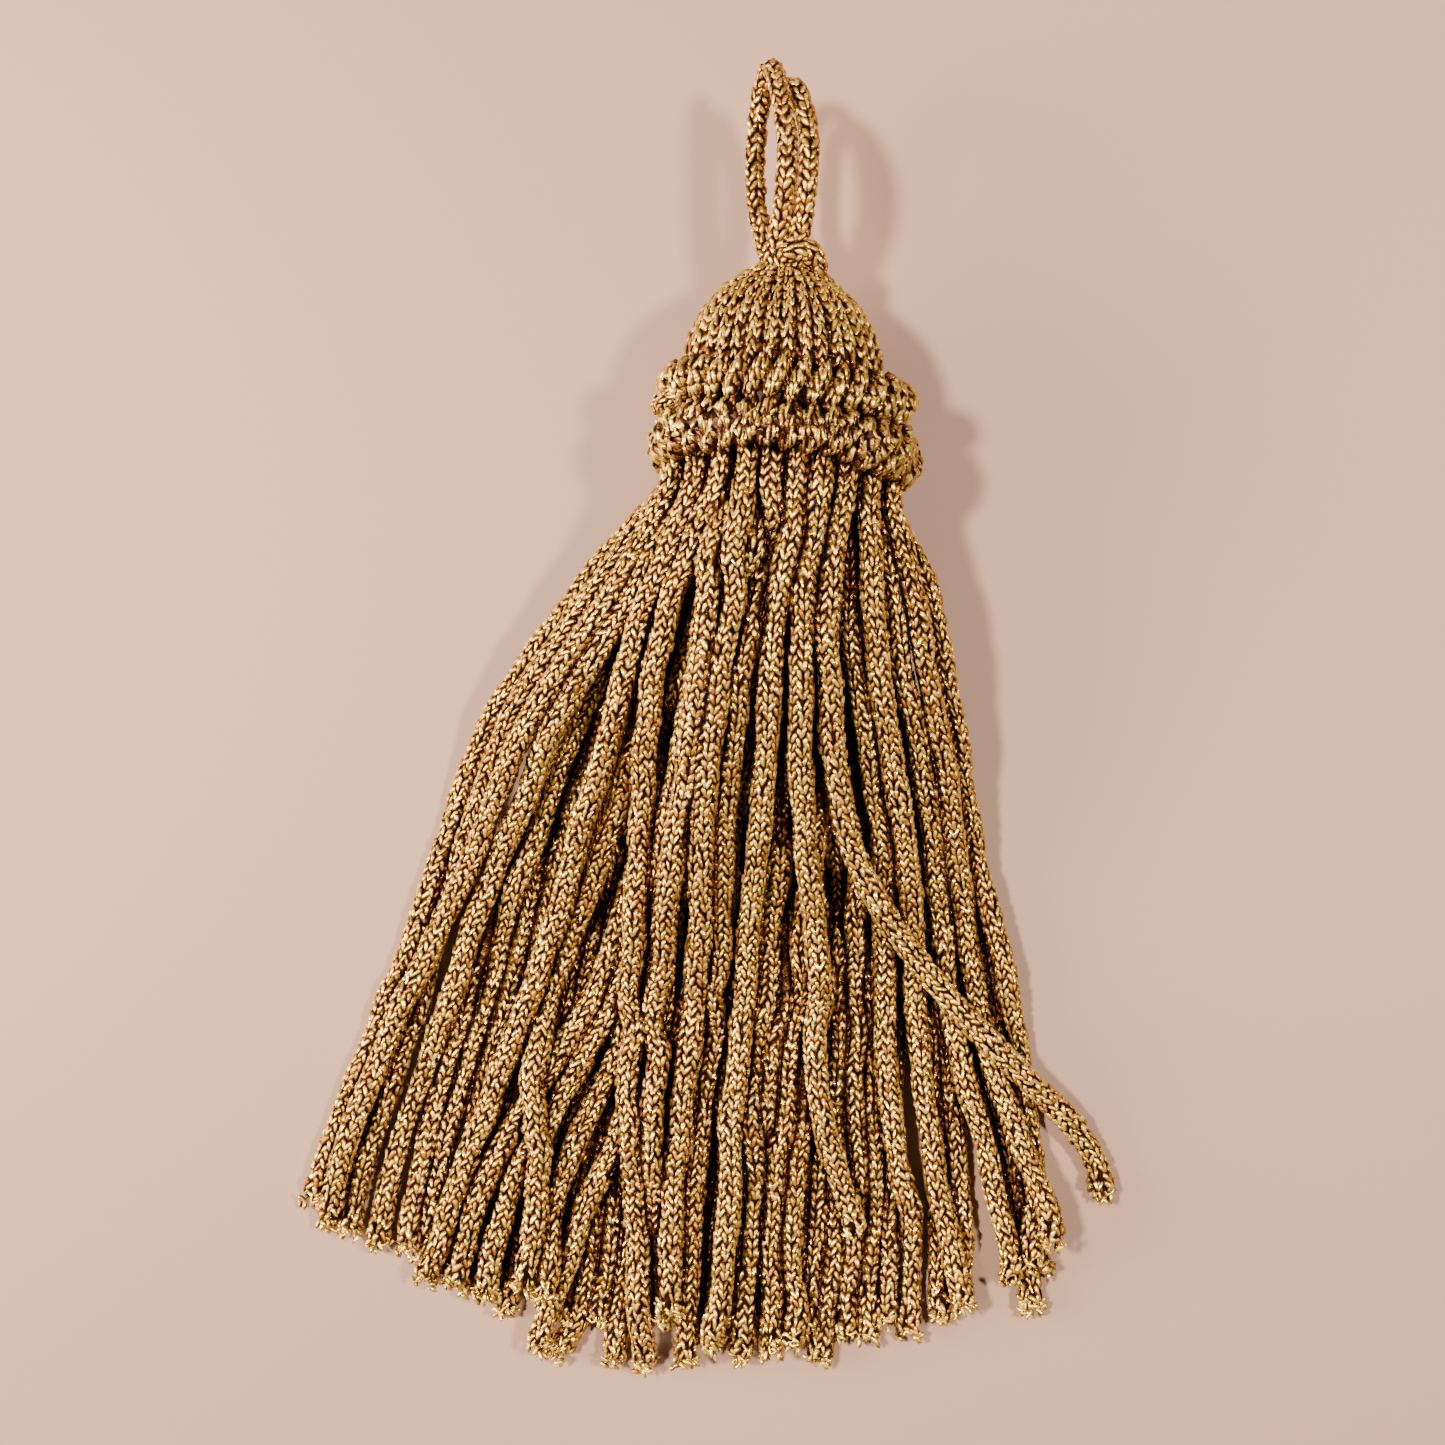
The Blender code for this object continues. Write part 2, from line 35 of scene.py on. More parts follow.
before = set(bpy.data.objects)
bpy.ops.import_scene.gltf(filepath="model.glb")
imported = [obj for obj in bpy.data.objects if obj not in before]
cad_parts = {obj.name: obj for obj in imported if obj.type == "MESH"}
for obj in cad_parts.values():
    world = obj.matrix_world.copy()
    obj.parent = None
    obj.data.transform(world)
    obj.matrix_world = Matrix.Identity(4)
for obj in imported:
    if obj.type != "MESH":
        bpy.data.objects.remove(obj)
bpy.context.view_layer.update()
print("nodes in the frame:", sorted(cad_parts))

# %% [markdown]
# ## The camera
# The real tassel was seen from right above, from about 24 cm. A camera looks down its own -Z axis, so with no tilt
# it already looks straight down, and only a small turn about Z is left to set. The focal length follows from the
# sensor's width and from how wide the view is at the floor.

# %% Camera
CAMERA_HEIGHT = 0.240
CAMERA_OVER = (-0.00373, -0.02869)
CAMERA_TURN_DEG = 5.5
VIEW_WIDTH = 0.159
SENSOR_WIDTH_MM = 36.0

camera_data = bpy.data.cameras.new("overhead_camera")
camera_data.sensor_width = SENSOR_WIDTH_MM
camera_data.lens = SENSOR_WIDTH_MM * CAMERA_HEIGHT / VIEW_WIDTH
camera = bpy.data.objects.new("overhead_camera", camera_data)
camera.location = (*CAMERA_OVER, CAMERA_HEIGHT)
camera.rotation_euler = (0.0, 0.0, math.radians(CAMERA_TURN_DEG))
bpy.context.scene.collection.objects.link(camera)
bpy.context.scene.camera = camera
print("lens in mm:", round(camera_data.lens, 1))

# %% [markdown]
# ## One leg of a stitch
# A knitted stitch is a V of two legs, each a short, plump bit of yarn. The whole cord could be one long tube of
# yarn bent into loops, but that takes far too many faces. A leg is modelled once instead, from a small sphere of
# few sides: it is turned so that its poles lie along the cord, drawn out, made fatter at one end, leaned over and
# pushed to one side. A second, plainer leg, made from a cone, serves the undersides of the cords and the dark places
# between them. Across the leg is X, along the cord is Y and out of the cord is Z, all as shares of one stitch.

# %% Model the stitch legs
LEG_LENGTH = 1.40
LEG_WIDTH = 0.62
LEG_HEIGHT = 1.0
LEG_TAPER = 0.7
LEG_LEAN_DEG = 19.0
LEG_CENTRE = (0.245, 0.5, 0.0)


def deselect_all():
    bpy.ops.object.select_all(action="DESELECT")


def model_leg(name, add_shape):
    """A leg of one stitch, as its points and its triangles. Its fat end is at the start of the stitch."""
    deselect_all()
    add_shape()
    leg = bpy.context.object
    leg.name = name
    leg.rotation_euler = (-math.pi / 2, 0.0, 0.0)
    bpy.ops.object.transform_apply(location=False, rotation=True, scale=False)
    bpy.ops.object.mode_set(mode="EDIT")
    bpy.ops.mesh.select_all(action="SELECT")
    bpy.ops.transform.resize(value=(LEG_WIDTH, LEG_LENGTH, LEG_HEIGHT))
    bpy.ops.mesh.quads_convert_to_tris()
    bpy.ops.object.mode_set(mode="OBJECT")
    for vert in leg.data.vertices:
        vert.co.x *= 1.0 - LEG_TAPER * vert.co.y / LEG_LENGTH
    leg.rotation_euler = (0.0, 0.0, math.radians(LEG_LEAN_DEG))
    leg.location = LEG_CENTRE
    bpy.ops.object.transform_apply(location=True, rotation=True, scale=False)
    points = np.array([vert.co[:] for vert in leg.data.vertices])
    triangles = np.array([face.vertices[:] for face in leg.data.polygons])
    bpy.data.objects.remove(leg, do_unlink=True)
    return points, triangles


def add_small_sphere():
    bpy.ops.mesh.primitive_uv_sphere_add(segments=4, ring_count=3, radius=0.5)


def add_small_cone():
    bpy.ops.mesh.primitive_cone_add(vertices=3, radius1=0.5, depth=1.0)


FINE_LEG = model_leg("fine_leg", add_small_sphere)
PLAIN_LEG = model_leg("plain_leg", add_small_cone)
print("faces of a leg:", len(FINE_LEG[1]), "fine,", len(PLAIN_LEG[1]), "plain")

# %% [markdown]
# ## Knitting over a surface
# Every surface of the tassel is described by a function: given a place across it, a place along it and a height over
# it, the function says where that is in space. The stitches are then laid out in rows and columns over the two
# places. Moving the leg's points through the function bends each leg to the surface. Arrays do this for thousands
# of legs at once, where copying objects one by one would be slow. Each point also gets two numbers for the
# material to read: painted light, from 0 for the painted shade deep between the yarns to 1 for the painted light on
# top of them, and tone, which differs from leg to leg.

# %% Lay stitches and skins
SHADE_SEED = 11
PLACE_WOBBLE = 0.07
SIZE_WOBBLE = 0.12
LEAN_WOBBLE = 0.10
HEIGHT_WOBBLE = 0.20
MIDDLE_TONE = 0.5
TONE_SPREAD = 0.24
SIDE_PAINTED_LIGHT = 0.10
LEG_TIP_PAINTED_SHADE = 0.36
TIP_FROM = 0.4
chance = np.random.default_rng(SHADE_SEED)


def lengths_along(line):
    """How far along a line each of its points lies."""
    return np.concatenate([[0.0], np.cumsum(np.linalg.norm(np.diff(line, axis=0), axis=1))])


def unit_rows(rows):
    """The same directions with a length of 1."""
    return rows / np.linalg.norm(rows, axis=1)[:, None]


def eased(share):
    """A share from 0 to 1 that starts and ends gently."""
    return share * share * (3.0 - 2.0 * share)


def facing_out(points, triangles):
    """Turns round the triangles of each closed shape that is inside out."""
    corners = points[np.arange(len(points))[:, None, None], triangles]
    corners = corners - points[:, :1, None, :]
    volume = np.einsum("nfi,nfi->n", corners[:, :, 0], np.cross(corners[:, :, 1], corners[:, :, 2]))
    triangles[volume < 0.0] = triangles[volume < 0.0][:, :, ::-1]
    return triangles


def in_the_open(across, along):
    """The light that a stitch misses where nothing lies over it: none."""
    return np.zeros(np.shape(across))


def knit(
    surface, leg, across, along, width, pitch, height, hidden_at=in_the_open, shade=0.0, point_ahead=True,
    loose=0.0, fat=1.0, splay=1.0,
):
    """Two legs for each stitch whose place across and along the surface is given, as one chunk of mesh.

    Hidden_at says how much of the light a place misses, from 0 to 1, and loose how untidy a stitch is. The point of
    the V lies ahead, or else at the stitch's start. With a splay of 0 the two legs are parallel.
    """
    shape, faces = leg
    stitches = [across, along, width, pitch, height, loose]
    stitches = [np.ravel(row) for row in np.broadcast_arrays(*stitches)]
    across, along, width, pitch, height, loose = [np.tile(row, 2)[:, None] for row in stitches]
    count = len(across)
    side = np.repeat([1.0, -1.0], count // 2)[:, None]
    jitter = chance.normal(0.0, 1.0, (6, count, 1)) * (1.0 + loose)
    fatness = fat * (1.0 + SIZE_WOBBLE * jitter[0])
    upright = (1.0 - splay) * math.tan(math.radians(LEG_LEAN_DEG)) * (shape[None, :, 1] - LEG_CENTRE[1])
    across_leg = LEG_CENTRE[0] + (shape[None, :, 0] - LEG_CENTRE[0]) * fatness + upright
    lean = LEAN_WOBBLE * jitter[1] * (shape[None, :, 1] - LEG_CENTRE[1])
    spread = width * (side * across_leg + lean + PLACE_WOBBLE * jitter[2])
    ahead = shape[None, :, 1] if point_ahead else 1.0 - shape[None, :, 1]
    rise = pitch * (ahead + PLACE_WOBBLE * jitter[3])
    lift = height * (shape[None, :, 2] * (1.0 + HEIGHT_WOBBLE * jitter[4]) + 0.5 * HEIGHT_WOBBLE * jitter[5])
    points = surface(across + spread, along + rise, lift)
    triangles = facing_out(points, np.repeat(faces[None], count, axis=0))
    triangles = triangles + len(shape) * np.arange(count)[:, None, None]
    # Painted light and shade: each leg is lighter on top, darker on its sides and at its ends, and darker again
    # where the light is missed.
    top = np.clip(shape[:, 2] / shape[:, 2].max(), 0.0, 1.0)
    tip = np.abs(shape[:, 1] - LEG_CENTRE[1]) > TIP_FROM * LEG_LENGTH
    painted_light = (SIDE_PAINTED_LIGHT + (1.0 - SIDE_PAINTED_LIGHT) * top) * (1.0 - LEG_TIP_PAINTED_SHADE * tip)
    painted_light = np.maximum(painted_light, LEG_TIP_PAINTED_SHADE * tip)[None] * (1.0 - hidden_at(across + spread, along + rise))
    tone = np.clip(chance.normal(MIDDLE_TONE + shade, TONE_SPREAD, (count, 1)), 0.0, 1.0)
    tone = np.repeat(tone, len(shape), axis=1)
    return points.reshape(-1, 3), triangles.reshape(-1, 3), painted_light.ravel(), tone.ravel()


def skin(surface, across, along, depth, closed=True, capped=True):
    """The skin under the stitches, a sheet of painted shade: a grid over the surface, sunk by a depth."""
    a, b = np.meshgrid(across, along)
    points = surface(a, b, np.full(a.shape, -depth))
    rows, columns = a.shape
    index = np.arange(rows * columns).reshape(rows, columns)
    if closed:
        index = np.concatenate([index, index[:, :1]], axis=1)
    p, q, r, s = index[:-1, :-1], index[:-1, 1:], index[1:, 1:], index[1:, :-1]
    triangles = np.concatenate([np.stack(t, axis=-1).reshape(-1, 3) for t in ((p, q, r), (p, r, s))])
    points = points.reshape(-1, 3)
    if capped:
        first, last = points[:columns].mean(axis=0), points[-columns:].mean(axis=0)
        points = np.vstack([points, first, last])
        head = [(q, p, rows * columns) for p, q in zip(index[0, :-1], index[0, 1:])]
        tail = [(p, q, rows * columns + 1) for p, q in zip(index[-1, :-1], index[-1, 1:])]
        triangles = np.concatenate([triangles, head, tail])
    triangles = facing_out(points[None], triangles[None].copy())[0]
    # The skin takes the darkest painted shade: its painted light is 0 everywhere.
    painted_unlit = np.zeros(len(points))
    return points, triangles, painted_unlit, painted_unlit + MIDDLE_TONE


def joined(name, chunks, material, nodes):
    """One object from chunks of mesh, riding on the tassel in place of its plain solid."""
    points, triangles, painted_light, tone, start = [], [], [], [], 0
    for chunk in chunks:
        points.append(chunk[0])
        triangles.append(chunk[1] + start)
        painted_light.append(chunk[2])
        tone.append(chunk[3])
        start += len(chunk[0])
    points, triangles = np.concatenate(points), np.concatenate(triangles)
    mesh = bpy.data.meshes.new(name)
    mesh.vertices.add(len(points))
    mesh.vertices.foreach_set("co", (points * MM).astype(np.float32).ravel())
    mesh.loops.add(3 * len(triangles))
    mesh.loops.foreach_set("vertex_index", triangles.astype(np.int32).ravel())
    mesh.polygons.add(len(triangles))
    mesh.polygons.foreach_set("loop_start", np.arange(0, 3 * len(triangles), 3, dtype=np.int32))
    mesh.update(calc_edges=True)
    for label, values in (("painted_light", painted_light), ("tone", tone)):
        layer = mesh.attributes.new(label, "FLOAT", "POINT")
        layer.data.foreach_set("value", np.concatenate(values).astype(np.float32))
    mesh.shade_smooth()
    mesh.materials.append(material)
    piece = bpy.data.objects.new(name, mesh)
    bpy.context.scene.collection.objects.link(piece)
    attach(piece, "root")
    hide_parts(*nodes)
    print(name, "has", len(triangles), "triangles")
    return piece


print("faces of a stitch:", 2 * len(FINE_LEG[1]))

# %% [markdown]
# ## Gold yarn
# The yarn is spun with bright metal film. Its colour holds painted light and shade: the tops of the legs show the
# yarn's own tone, from amber to pale straw, which differs at random, while their flanks take a painted dark gold
# shade and the holes a painted near-black shade, with a painted glint here and there on the tops, for film that lies
# flat to a lamp. A node group turns the two numbers of each point into that colour. It adds a grain for the
# filaments, and small cells that each tilt their own way, as flakes of the film do. Every piece shares this one
# group. The shader itself stays in the material, as the group only gives colours, values and a direction.

# %% The yarn's node group
# The first three colours are the yarn's own tones, which differ at random. The next two are painted shade, for the
# flanks of the legs and the holes between them; the first of these also darkens a share of dull cells. The last is a
# painted glint.
PALE = (1.0, 0.70, 0.13, 1.0)
STRAW = (0.78, 0.46, 0.095, 1.0)
AMBER = (0.42, 0.195, 0.032, 1.0)
SHADE_AND_DULL_GOLD = (0.17, 0.05, 0.009, 1.0)
CREVICE_SHADE = (0.024, 0.005, 0.0014, 1.0)
GLINT = (1.0, 0.84, 0.27, 1.0)
GRAIN_SCALE = 2600.0
PATCH_SCALE = 95.0
CELL_SCALE = 1900.0
GLINT_FROM = 0.95
FACET_TILT = 0.6
DULL_SHARE = 0.40
DULLNESS = 0.45
FILM_TONE = 0.35
PATCH_TONE = 0.30
TONE_DROP = 0.30
CREVICE_UP_TO = 0.06
FLANK_FROM = 0.42
LIT_FROM = 0.30
LIT_FULLY = 0.85
DULL_ROUGHNESS = 0.50
FILM_ROUGHNESS = 0.20


def yarn_group():
    """The yarn's colour, with painted shade and glints, and its roughness, grain and tilt, from the painted light
    and the tone of a point.
    """
    group = bpy.data.node_groups.new("gold_yarn", "ShaderNodeTree")
    for label in ("Painted_light", "Tone"):
        group.interface.new_socket(name=label, in_out="INPUT", socket_type="NodeSocketFloat")
    for label, kind in (("Color", "Color"), ("Roughness", "Float"), ("Height", "Float"), ("Tilt", "Vector")):
        group.interface.new_socket(name=label, in_out="OUTPUT", socket_type="NodeSocket" + kind)
    nodes, links = group.nodes, group.links

    def math_node(operation, first, second):
        node = nodes.new("ShaderNodeMath")
        node.operation = operation
        for socket, value in zip(node.inputs, (first, second)):
            if isinstance(value, float):
                socket.default_value = value
            else:
                links.new(value, socket)
        return node.outputs["Value"]

    def mixed_color(factor, first, second):
        node = nodes.new("ShaderNodeMix")
        node.data_type = "RGBA"
        links.new(factor, node.inputs["Factor"])
        for label, value in (("A", first), ("B", second)):
            if isinstance(value, tuple):
                node.inputs[label].default_value = value
            else:
                links.new(value, node.inputs[label])
        return node.outputs["Result"]

    def ranged(value, **settings):
        node = nodes.new("ShaderNodeMapRange")
        links.new(value, node.inputs["Value"])
        for label, setting in settings.items():
            node.inputs[label.replace("_", " ").title()].default_value = setting
        return node.outputs["Result"]

    source = nodes.new("NodeGroupInput")
    result = nodes.new("NodeGroupOutput")
    place = nodes.new("ShaderNodeTexCoord").outputs["Object"]
    patches = nodes.new("ShaderNodeTexNoise")
    patches.inputs["Scale"].default_value = PATCH_SCALE
    grain = nodes.new("ShaderNodeTexNoise")
    grain.inputs["Scale"].default_value = GRAIN_SCALE
    cells = nodes.new("ShaderNodeTexVoronoi")
    cells.inputs["Scale"].default_value = CELL_SCALE
    for texture in (patches, grain, cells):
        links.new(place, texture.inputs["Vector"])
    cell = nodes.new("ShaderNodeSeparateColor")
    links.new(cells.outputs["Color"], cell.inputs["Color"])

    film = math_node("MULTIPLY", cell.outputs["Green"], FILM_TONE)
    tone = math_node("ADD", source.outputs["Tone"], film)
    tone = math_node("ADD", tone, math_node("MULTIPLY", patches.outputs["Fac"], PATCH_TONE))
    tones = nodes.new("ShaderNodeValToRGB")
    ramp = tones.color_ramp
    ramp.elements[0].position, ramp.elements[0].color = 0.0, AMBER
    ramp.elements[1].position, ramp.elements[1].color = 1.0, PALE
    ramp.elements.new(0.5).color = STRAW
    links.new(math_node("SUBTRACT", tone, TONE_DROP), tones.inputs["Fac"])
    # Painted shade: the holes go near black and the flanks dark gold. Painted light: the tops take the tone's
    # colour.
    shade_ramp = nodes.new("ShaderNodeValToRGB")
    ramp = shade_ramp.color_ramp
    ramp.elements[0].position, ramp.elements[0].color = CREVICE_UP_TO, CREVICE_SHADE
    ramp.elements[1].position, ramp.elements[1].color = FLANK_FROM, SHADE_AND_DULL_GOLD
    links.new(source.outputs["Painted_light"], shade_ramp.inputs["Fac"])
    lit = ranged(source.outputs["Painted_light"], from_min=LIT_FROM, from_max=LIT_FULLY)
    gold = mixed_color(lit, shade_ramp.outputs["Color"], tones.outputs["Color"])
    dull = ranged(cell.outputs["Blue"], from_max=DULL_SHARE, to_min=DULLNESS, to_max=0.0)
    gold = mixed_color(dull, gold, SHADE_AND_DULL_GOLD)
    # A painted glint: a pale colour on a few cells, only where the painted light is high.
    shines = math_node("GREATER_THAN", cell.outputs["Red"], GLINT_FROM)
    shines = math_node("MULTIPLY", shines, lit)
    links.new(mixed_color(shines, gold, GLINT), result.inputs["Color"])
    rough = ranged(cell.outputs["Green"], to_min=DULL_ROUGHNESS, to_max=FILM_ROUGHNESS)
    links.new(rough, result.inputs["Roughness"])
    links.new(grain.outputs["Fac"], result.inputs["Height"])
    tilt = nodes.new("ShaderNodeVectorMath")
    tilt.operation = "MULTIPLY_ADD"
    links.new(cells.outputs["Color"], tilt.inputs[0])
    tilt.inputs[1].default_value = [FACET_TILT] * 3
    tilt.inputs[2].default_value = [-0.5 * FACET_TILT] * 3
    links.new(tilt.outputs["Vector"], result.inputs["Tilt"])
    return group


GOLD_YARN = yarn_group()
print("sockets of the yarn group:", [item.name for item in GOLD_YARN.interface.items_tree])

# %% [markdown]
# The material reads the two numbers from the mesh with Attribute nodes, and feeds the group's colour, roughness and
# grain to a mostly metallic shader. The grain goes through a Bump node, because a filament is far thinner than a
# face. The tilt of the film is then added to the bumped normal, and the sum is brought back to a length of 1.

# %% Make the yarn materials
YARN_METALLIC = 0.8
GRAIN_DEPTH = 0.00008


def yarn_material(name):
    """A material of gold yarn, for one part of the tassel."""
    material = bpy.data.materials.new(name)
    material.use_nodes = True
    nodes, links = material.node_tree.nodes, material.node_tree.links
    shader = nodes["Principled BSDF"]
    shader.inputs["Metallic"].default_value = YARN_METALLIC
    group = nodes.new("ShaderNodeGroup")
    group.node_tree = GOLD_YARN
    for label in ("Painted_light", "Tone"):
        reader = nodes.new("ShaderNodeAttribute")
        reader.attribute_name = label.lower()
        links.new(reader.outputs["Fac"], group.inputs[label])
    bump = nodes.new("ShaderNodeBump")
    bump.inputs["Distance"].default_value = GRAIN_DEPTH
    links.new(group.outputs["Height"], bump.inputs["Height"])
    links.new(group.outputs["Color"], shader.inputs["Base Color"])
    links.new(group.outputs["Roughness"], shader.inputs["Roughness"])
    facet = nodes.new("ShaderNodeVectorMath")
    links.new(bump.outputs["Normal"], facet.inputs[0])
    links.new(group.outputs["Tilt"], facet.inputs[1])
    level = nodes.new("ShaderNodeVectorMath")
    level.operation = "NORMALIZE"
    links.new(facet.outputs["Vector"], level.inputs[0])
    links.new(level.outputs["Vector"], shader.inputs["Normal"])
    return material


skirt_yarn = yarn_material("skirt_yarn")
roll_yarn = yarn_material("roll_yarn")
head_yarn = yarn_material("head_yarn")
loop_yarn = yarn_material("loop_yarn")
print("materials:", [item.name for item in (skirt_yarn, roll_yarn, head_yarn, loop_yarn)])

# %% [markdown]
# ## The skirt's plan
# The skirt is a fan of 56 cut cords. Those on top were placed one by one, each by the spots that it crosses on its
# way down. The rest fill the pile under them. The same tables and rules made the plain solid, in millimetres, so the
# knitted cords lie where its strands do.

# %% The skirt's tables
CORD = 2.4
PRESSED = 2.05
STACK_POWER = 5.0
NECK_Y = -4.6
SEED = 7

# The skirt's plan: how far left and right it reaches at each distance below the collar. Columns: y, left, right.
EDGES = (
    (-4.6, -11.8, 11.8),
    (-12.0, -17.4, 16.3),
    (-20.0, -22.2, 18.8),
    (-30.0, -28.6, 22.0),
    (-40.0, -31.6, 24.7),
    (-50.0, -33.6, 28.6),
    (-60.0, -36.3, 31.6),
    (-70.0, -39.5, 33.9),
    (-80.0, -42.0, 36.0),
    (-90.0, -43.4, 37.4),
)

# How far down the strands reach under the pile, across the skirt. Columns: x, y.
HEM = (
    (-43.5, -85.0),
    (-35.0, -89.0),
    (-27.0, -92.0),
    (-10.0, -93.6),
    (8.0, -94.6),
    (20.0, -92.0),
    (28.0, -88.0),
    (36.0, -84.0),
)

# The strands leave the neck in columns, this many to a column, stacked one on another.
NECK_COLUMNS = (3, 5, 6, 7, 7, 7, 7, 6, 5, 3)
COLUMN_PITCH = 2.5
ROW_PITCH = 2.75

# The strands that show on top of the skirt, from left to right: the column of the neck that each leaves and how
# many lie over it there, where it lies across the skirt at each station, and where its end lies. Those of a higher
# lift are laid later, over their neighbours. Columns: column, under, lift, x at each of the stations, end x, end y.
STATIONS = (-12.0, -20.0, -30.0, -40.0, -50.0, -60.0, -70.0, -80.0)
SHOWN = (
    (0, 2, 0, (-17.4, -22.2, -28.6, -31.6, -33.6, -36.4, -39.6, -42.2), -43.4, -84.2),
    (0, 1, 0, (-15.8, -20.6, -26.4, -29.2, -32.0, -33.4, -35.6, -38.2), -39.2, -87.4),
    (0, 0, 1, (-14.0, -18.2, -24.2, -27.4, -30.6, -34.6, -37.8, -40.6), -41.4, -86.6),
    (1, 2, 0, (-11.8, -15.0, -19.4, -21.6, -23.8, -25.6, -28.8, -30.8), -31.4, -89.0),
    (1, 1, 1, (-12.1, -15.9, -21.5, -24.3, -27.8, -29.8, -32.5, -35.1), -35.8, -88.4),
    (1, 0, 2, (-10.8, -13.6, -14.9, -17.4, -19.1, -21.5, -24.4, -27.2), -29.6, -90.8),
    (2, 1, 2, (-8.6, -11.4, -12.4, -14.2, -16.9, -20.0, -20.2, -18.6), -18.4, -90.4),
    (2, 0, 3, (-8.8, -11.0, -11.6, -11.2, -11.0, -10.3, -9.9, -8.4), -5.2, -98.0),
    (2, 2, 1, (-7.0, -8.7, -10.5, -10.6, -12.1, -14.7, -19.9, -24.6), -27.1, -91.4),
    (3, 2, 1, (-5.2, -7.6, -9.3, -9.8, -10.2, -12.2, -16.9, -21.8), -23.6, -92.0),
    (4, 1, 1, (-3.4, -6.2, -7.4, -8.5, -9.2, -9.9, -12.8, -17.2), -17.0, -91.4),
    (3, 3, 0, (-5.0, -6.5, -7.8, -8.2, -8.6, -9.2, -10.8, -13.6), -22.4, -98.2),
    (4, 2, 0, (-3.2, -4.6, -5.6, -6.2, -6.6, -7.2, -9.0, -12.8), -17.4, -97.2),
    (4, 4, 0, (-3.0, -4.2, -5.0, -5.4, -5.8, -6.2, -7.4, -9.8), -14.6, -97.8),
    (3, 1, 1, (-5.2, -6.2, -6.5, -7.3, -8.0, -7.9, -7.5, -6.2), -4.4, -93.0),
    (3, 0, 1, (-3.6, -4.6, -5.0, -4.9, -4.0, -3.7, -4.1, -4.3), -3.8, -91.4),
    (4, 0, 0, (-1.6, -2.2, -2.6, -2.7, -1.8, -1.2, -1.7, -1.8), -1.2, -97.0),
    (5, 0, 1, (0.4, 0.5, 1.0, 1.3, 1.1, 1.6, 1.4, 2.0), 2.0, -95.4),
    (5, 1, 0, (1.6, 2.2, 2.9, 3.5, 3.9, 4.1, 4.0, 4.4), 4.6, -96.6),
    (6, 0, 1, (2.9, 3.4, 4.4, 5.9, 8.5, 9.1, 10.5, 15.4), 16.0, -81.2),
    (6, 1, 0, (4.0, 4.8, 6.3, 7.4, 6.9, 7.0, 6.9, 7.6), 8.5, -95.6),
    (7, 3, 0, (5.4, 6.5, 7.8, 8.7, 9.2, 9.6, 9.8, 9.8), 9.9, -95.8),
    (7, 0, 3, (5.3, 6.0, 7.8, 10.4, 17.2, 27.6, 40.6, 45.6), 43.0, -74.8),
    (7, 2, 0, (6.2, 7.7, 10.0, 12.6, 13.0, 14.0, 15.3, 14.8), 13.9, -93.4),
    (7, 1, 1, (7.6, 8.9, 11.8, 14.6, 15.9, 17.0, 18.5, 21.5), 23.2, -92.0),
    (8, 0, 1, (9.9, 11.2, 14.0, 17.0, 19.2, 20.4, 22.6, 25.3), 28.6, -88.6),
    (8, 2, 0, (10.3, 12.4, 16.3, 19.3, 22.4, 25.8, 29.6, 33.8), 39.6, -87.8),
    (8, 1, 1, (12.2, 13.8, 17.4, 20.1, 22.5, 24.4, 28.4, 31.8), 33.8, -85.4),
    (9, 0, 1, (14.3, 16.3, 19.8, 22.5, 25.1, 27.7, 32.3, 37.5), 37.2, -79.8),
    (9, 1, 1, (16.3, 18.6, 21.9, 24.6, 28.6, 31.6, 34.1, 35.3), 35.6, -83.4),
)

# The strands under them, row by row from the lowest: how far each row is shifted sideways, as a share of the room
# between two strands, how wide it spreads, and how much its strands wander. Columns: shift, spread, wander.
HIDDEN = (
    (0.0, 1.04, 0.5),
    (0.34, 1.0, 0.6),
    (-0.34, 0.98, 0.7),
    (0.15, 0.95, 0.8),
    (-0.2, 0.95, 0.8),
    (0.4, 0.95, 0.8),
    (0.0, 0.95, 0.8),
)
SPREAD_LENGTH = 16.0
WANDER_LENGTHS = (38.0, 62.0)
HEM_NEAR_Y = -92.0
END_SPREAD = (-1.5, 2.5)
LAST_STATION_ROOM = 3.0
LAY_STEP = 1.0
LAY_END = -100.5
FALL_RADIUS = 62.0
STEEPEST = 0.42

print("cords on top:", len(SHOWN))

# %% [markdown]
# ## Where the cords lie
# A cord leaves the neck in a stack, falls in a slow bend and comes to rest on the floor or on its neighbours. Cloth
# simulation could drop so many cords, but it would scatter them. A few rules keep them where they belong: each cord
# draws towards its own place, sinks, and is pushed off any other that it meets.

# %% Plans of the cords
LIFT_ORDER = 100.0
PATH_SMOOTHING = 4
HEIGHT_SMOOTHING = 2
NECK_MIDDLE_Z = 12.8
HIDDEN_DEPTH = 4.2


def smoothed(values, passes):
    """A row of values with its corners rounded, its ends kept."""
    for _ in range(passes):
        inner = 0.25 * values[:-2] + 0.5 * values[1:-1] + 0.25 * values[2:]
        values = np.concatenate([values[:1], inner, values[-1:]])
    return values


def neck_point(column, row):
    """Where a strand leaves the neck: its place in one of the columns, counted from the lowest row."""
    x = (column - 0.5 * (len(NECK_COLUMNS) - 1)) * COLUMN_PITCH
    return x, NECK_MIDDLE_Z + (row - 0.5 * (NECK_COLUMNS[column] - 1)) * ROW_PITCH


def shown_plans(lay_y):
    """(order of laying, root x, root z, x all along, end y, depth under the top) of the strands that show."""
    plans = []
    for column, under, lift, across, end_x, end_y in SHOWN:
        root_x, root_z = neck_point(column, NECK_COLUMNS[column] - 1 - under)
        known = [(NECK_Y, root_x)]
        known += [(y, x) for y, x in zip(STATIONS, across) if y > end_y + LAST_STATION_ROOM]
        known += [(end_y, end_x)]
        ys, xs = np.array(known[::-1]).T
        path = smoothed(np.interp(lay_y, ys, xs), PATH_SMOOTHING)
        plans.append((LIFT_ORDER * lift + root_z, root_x, root_z, path, end_y, 0.0))
    return plans


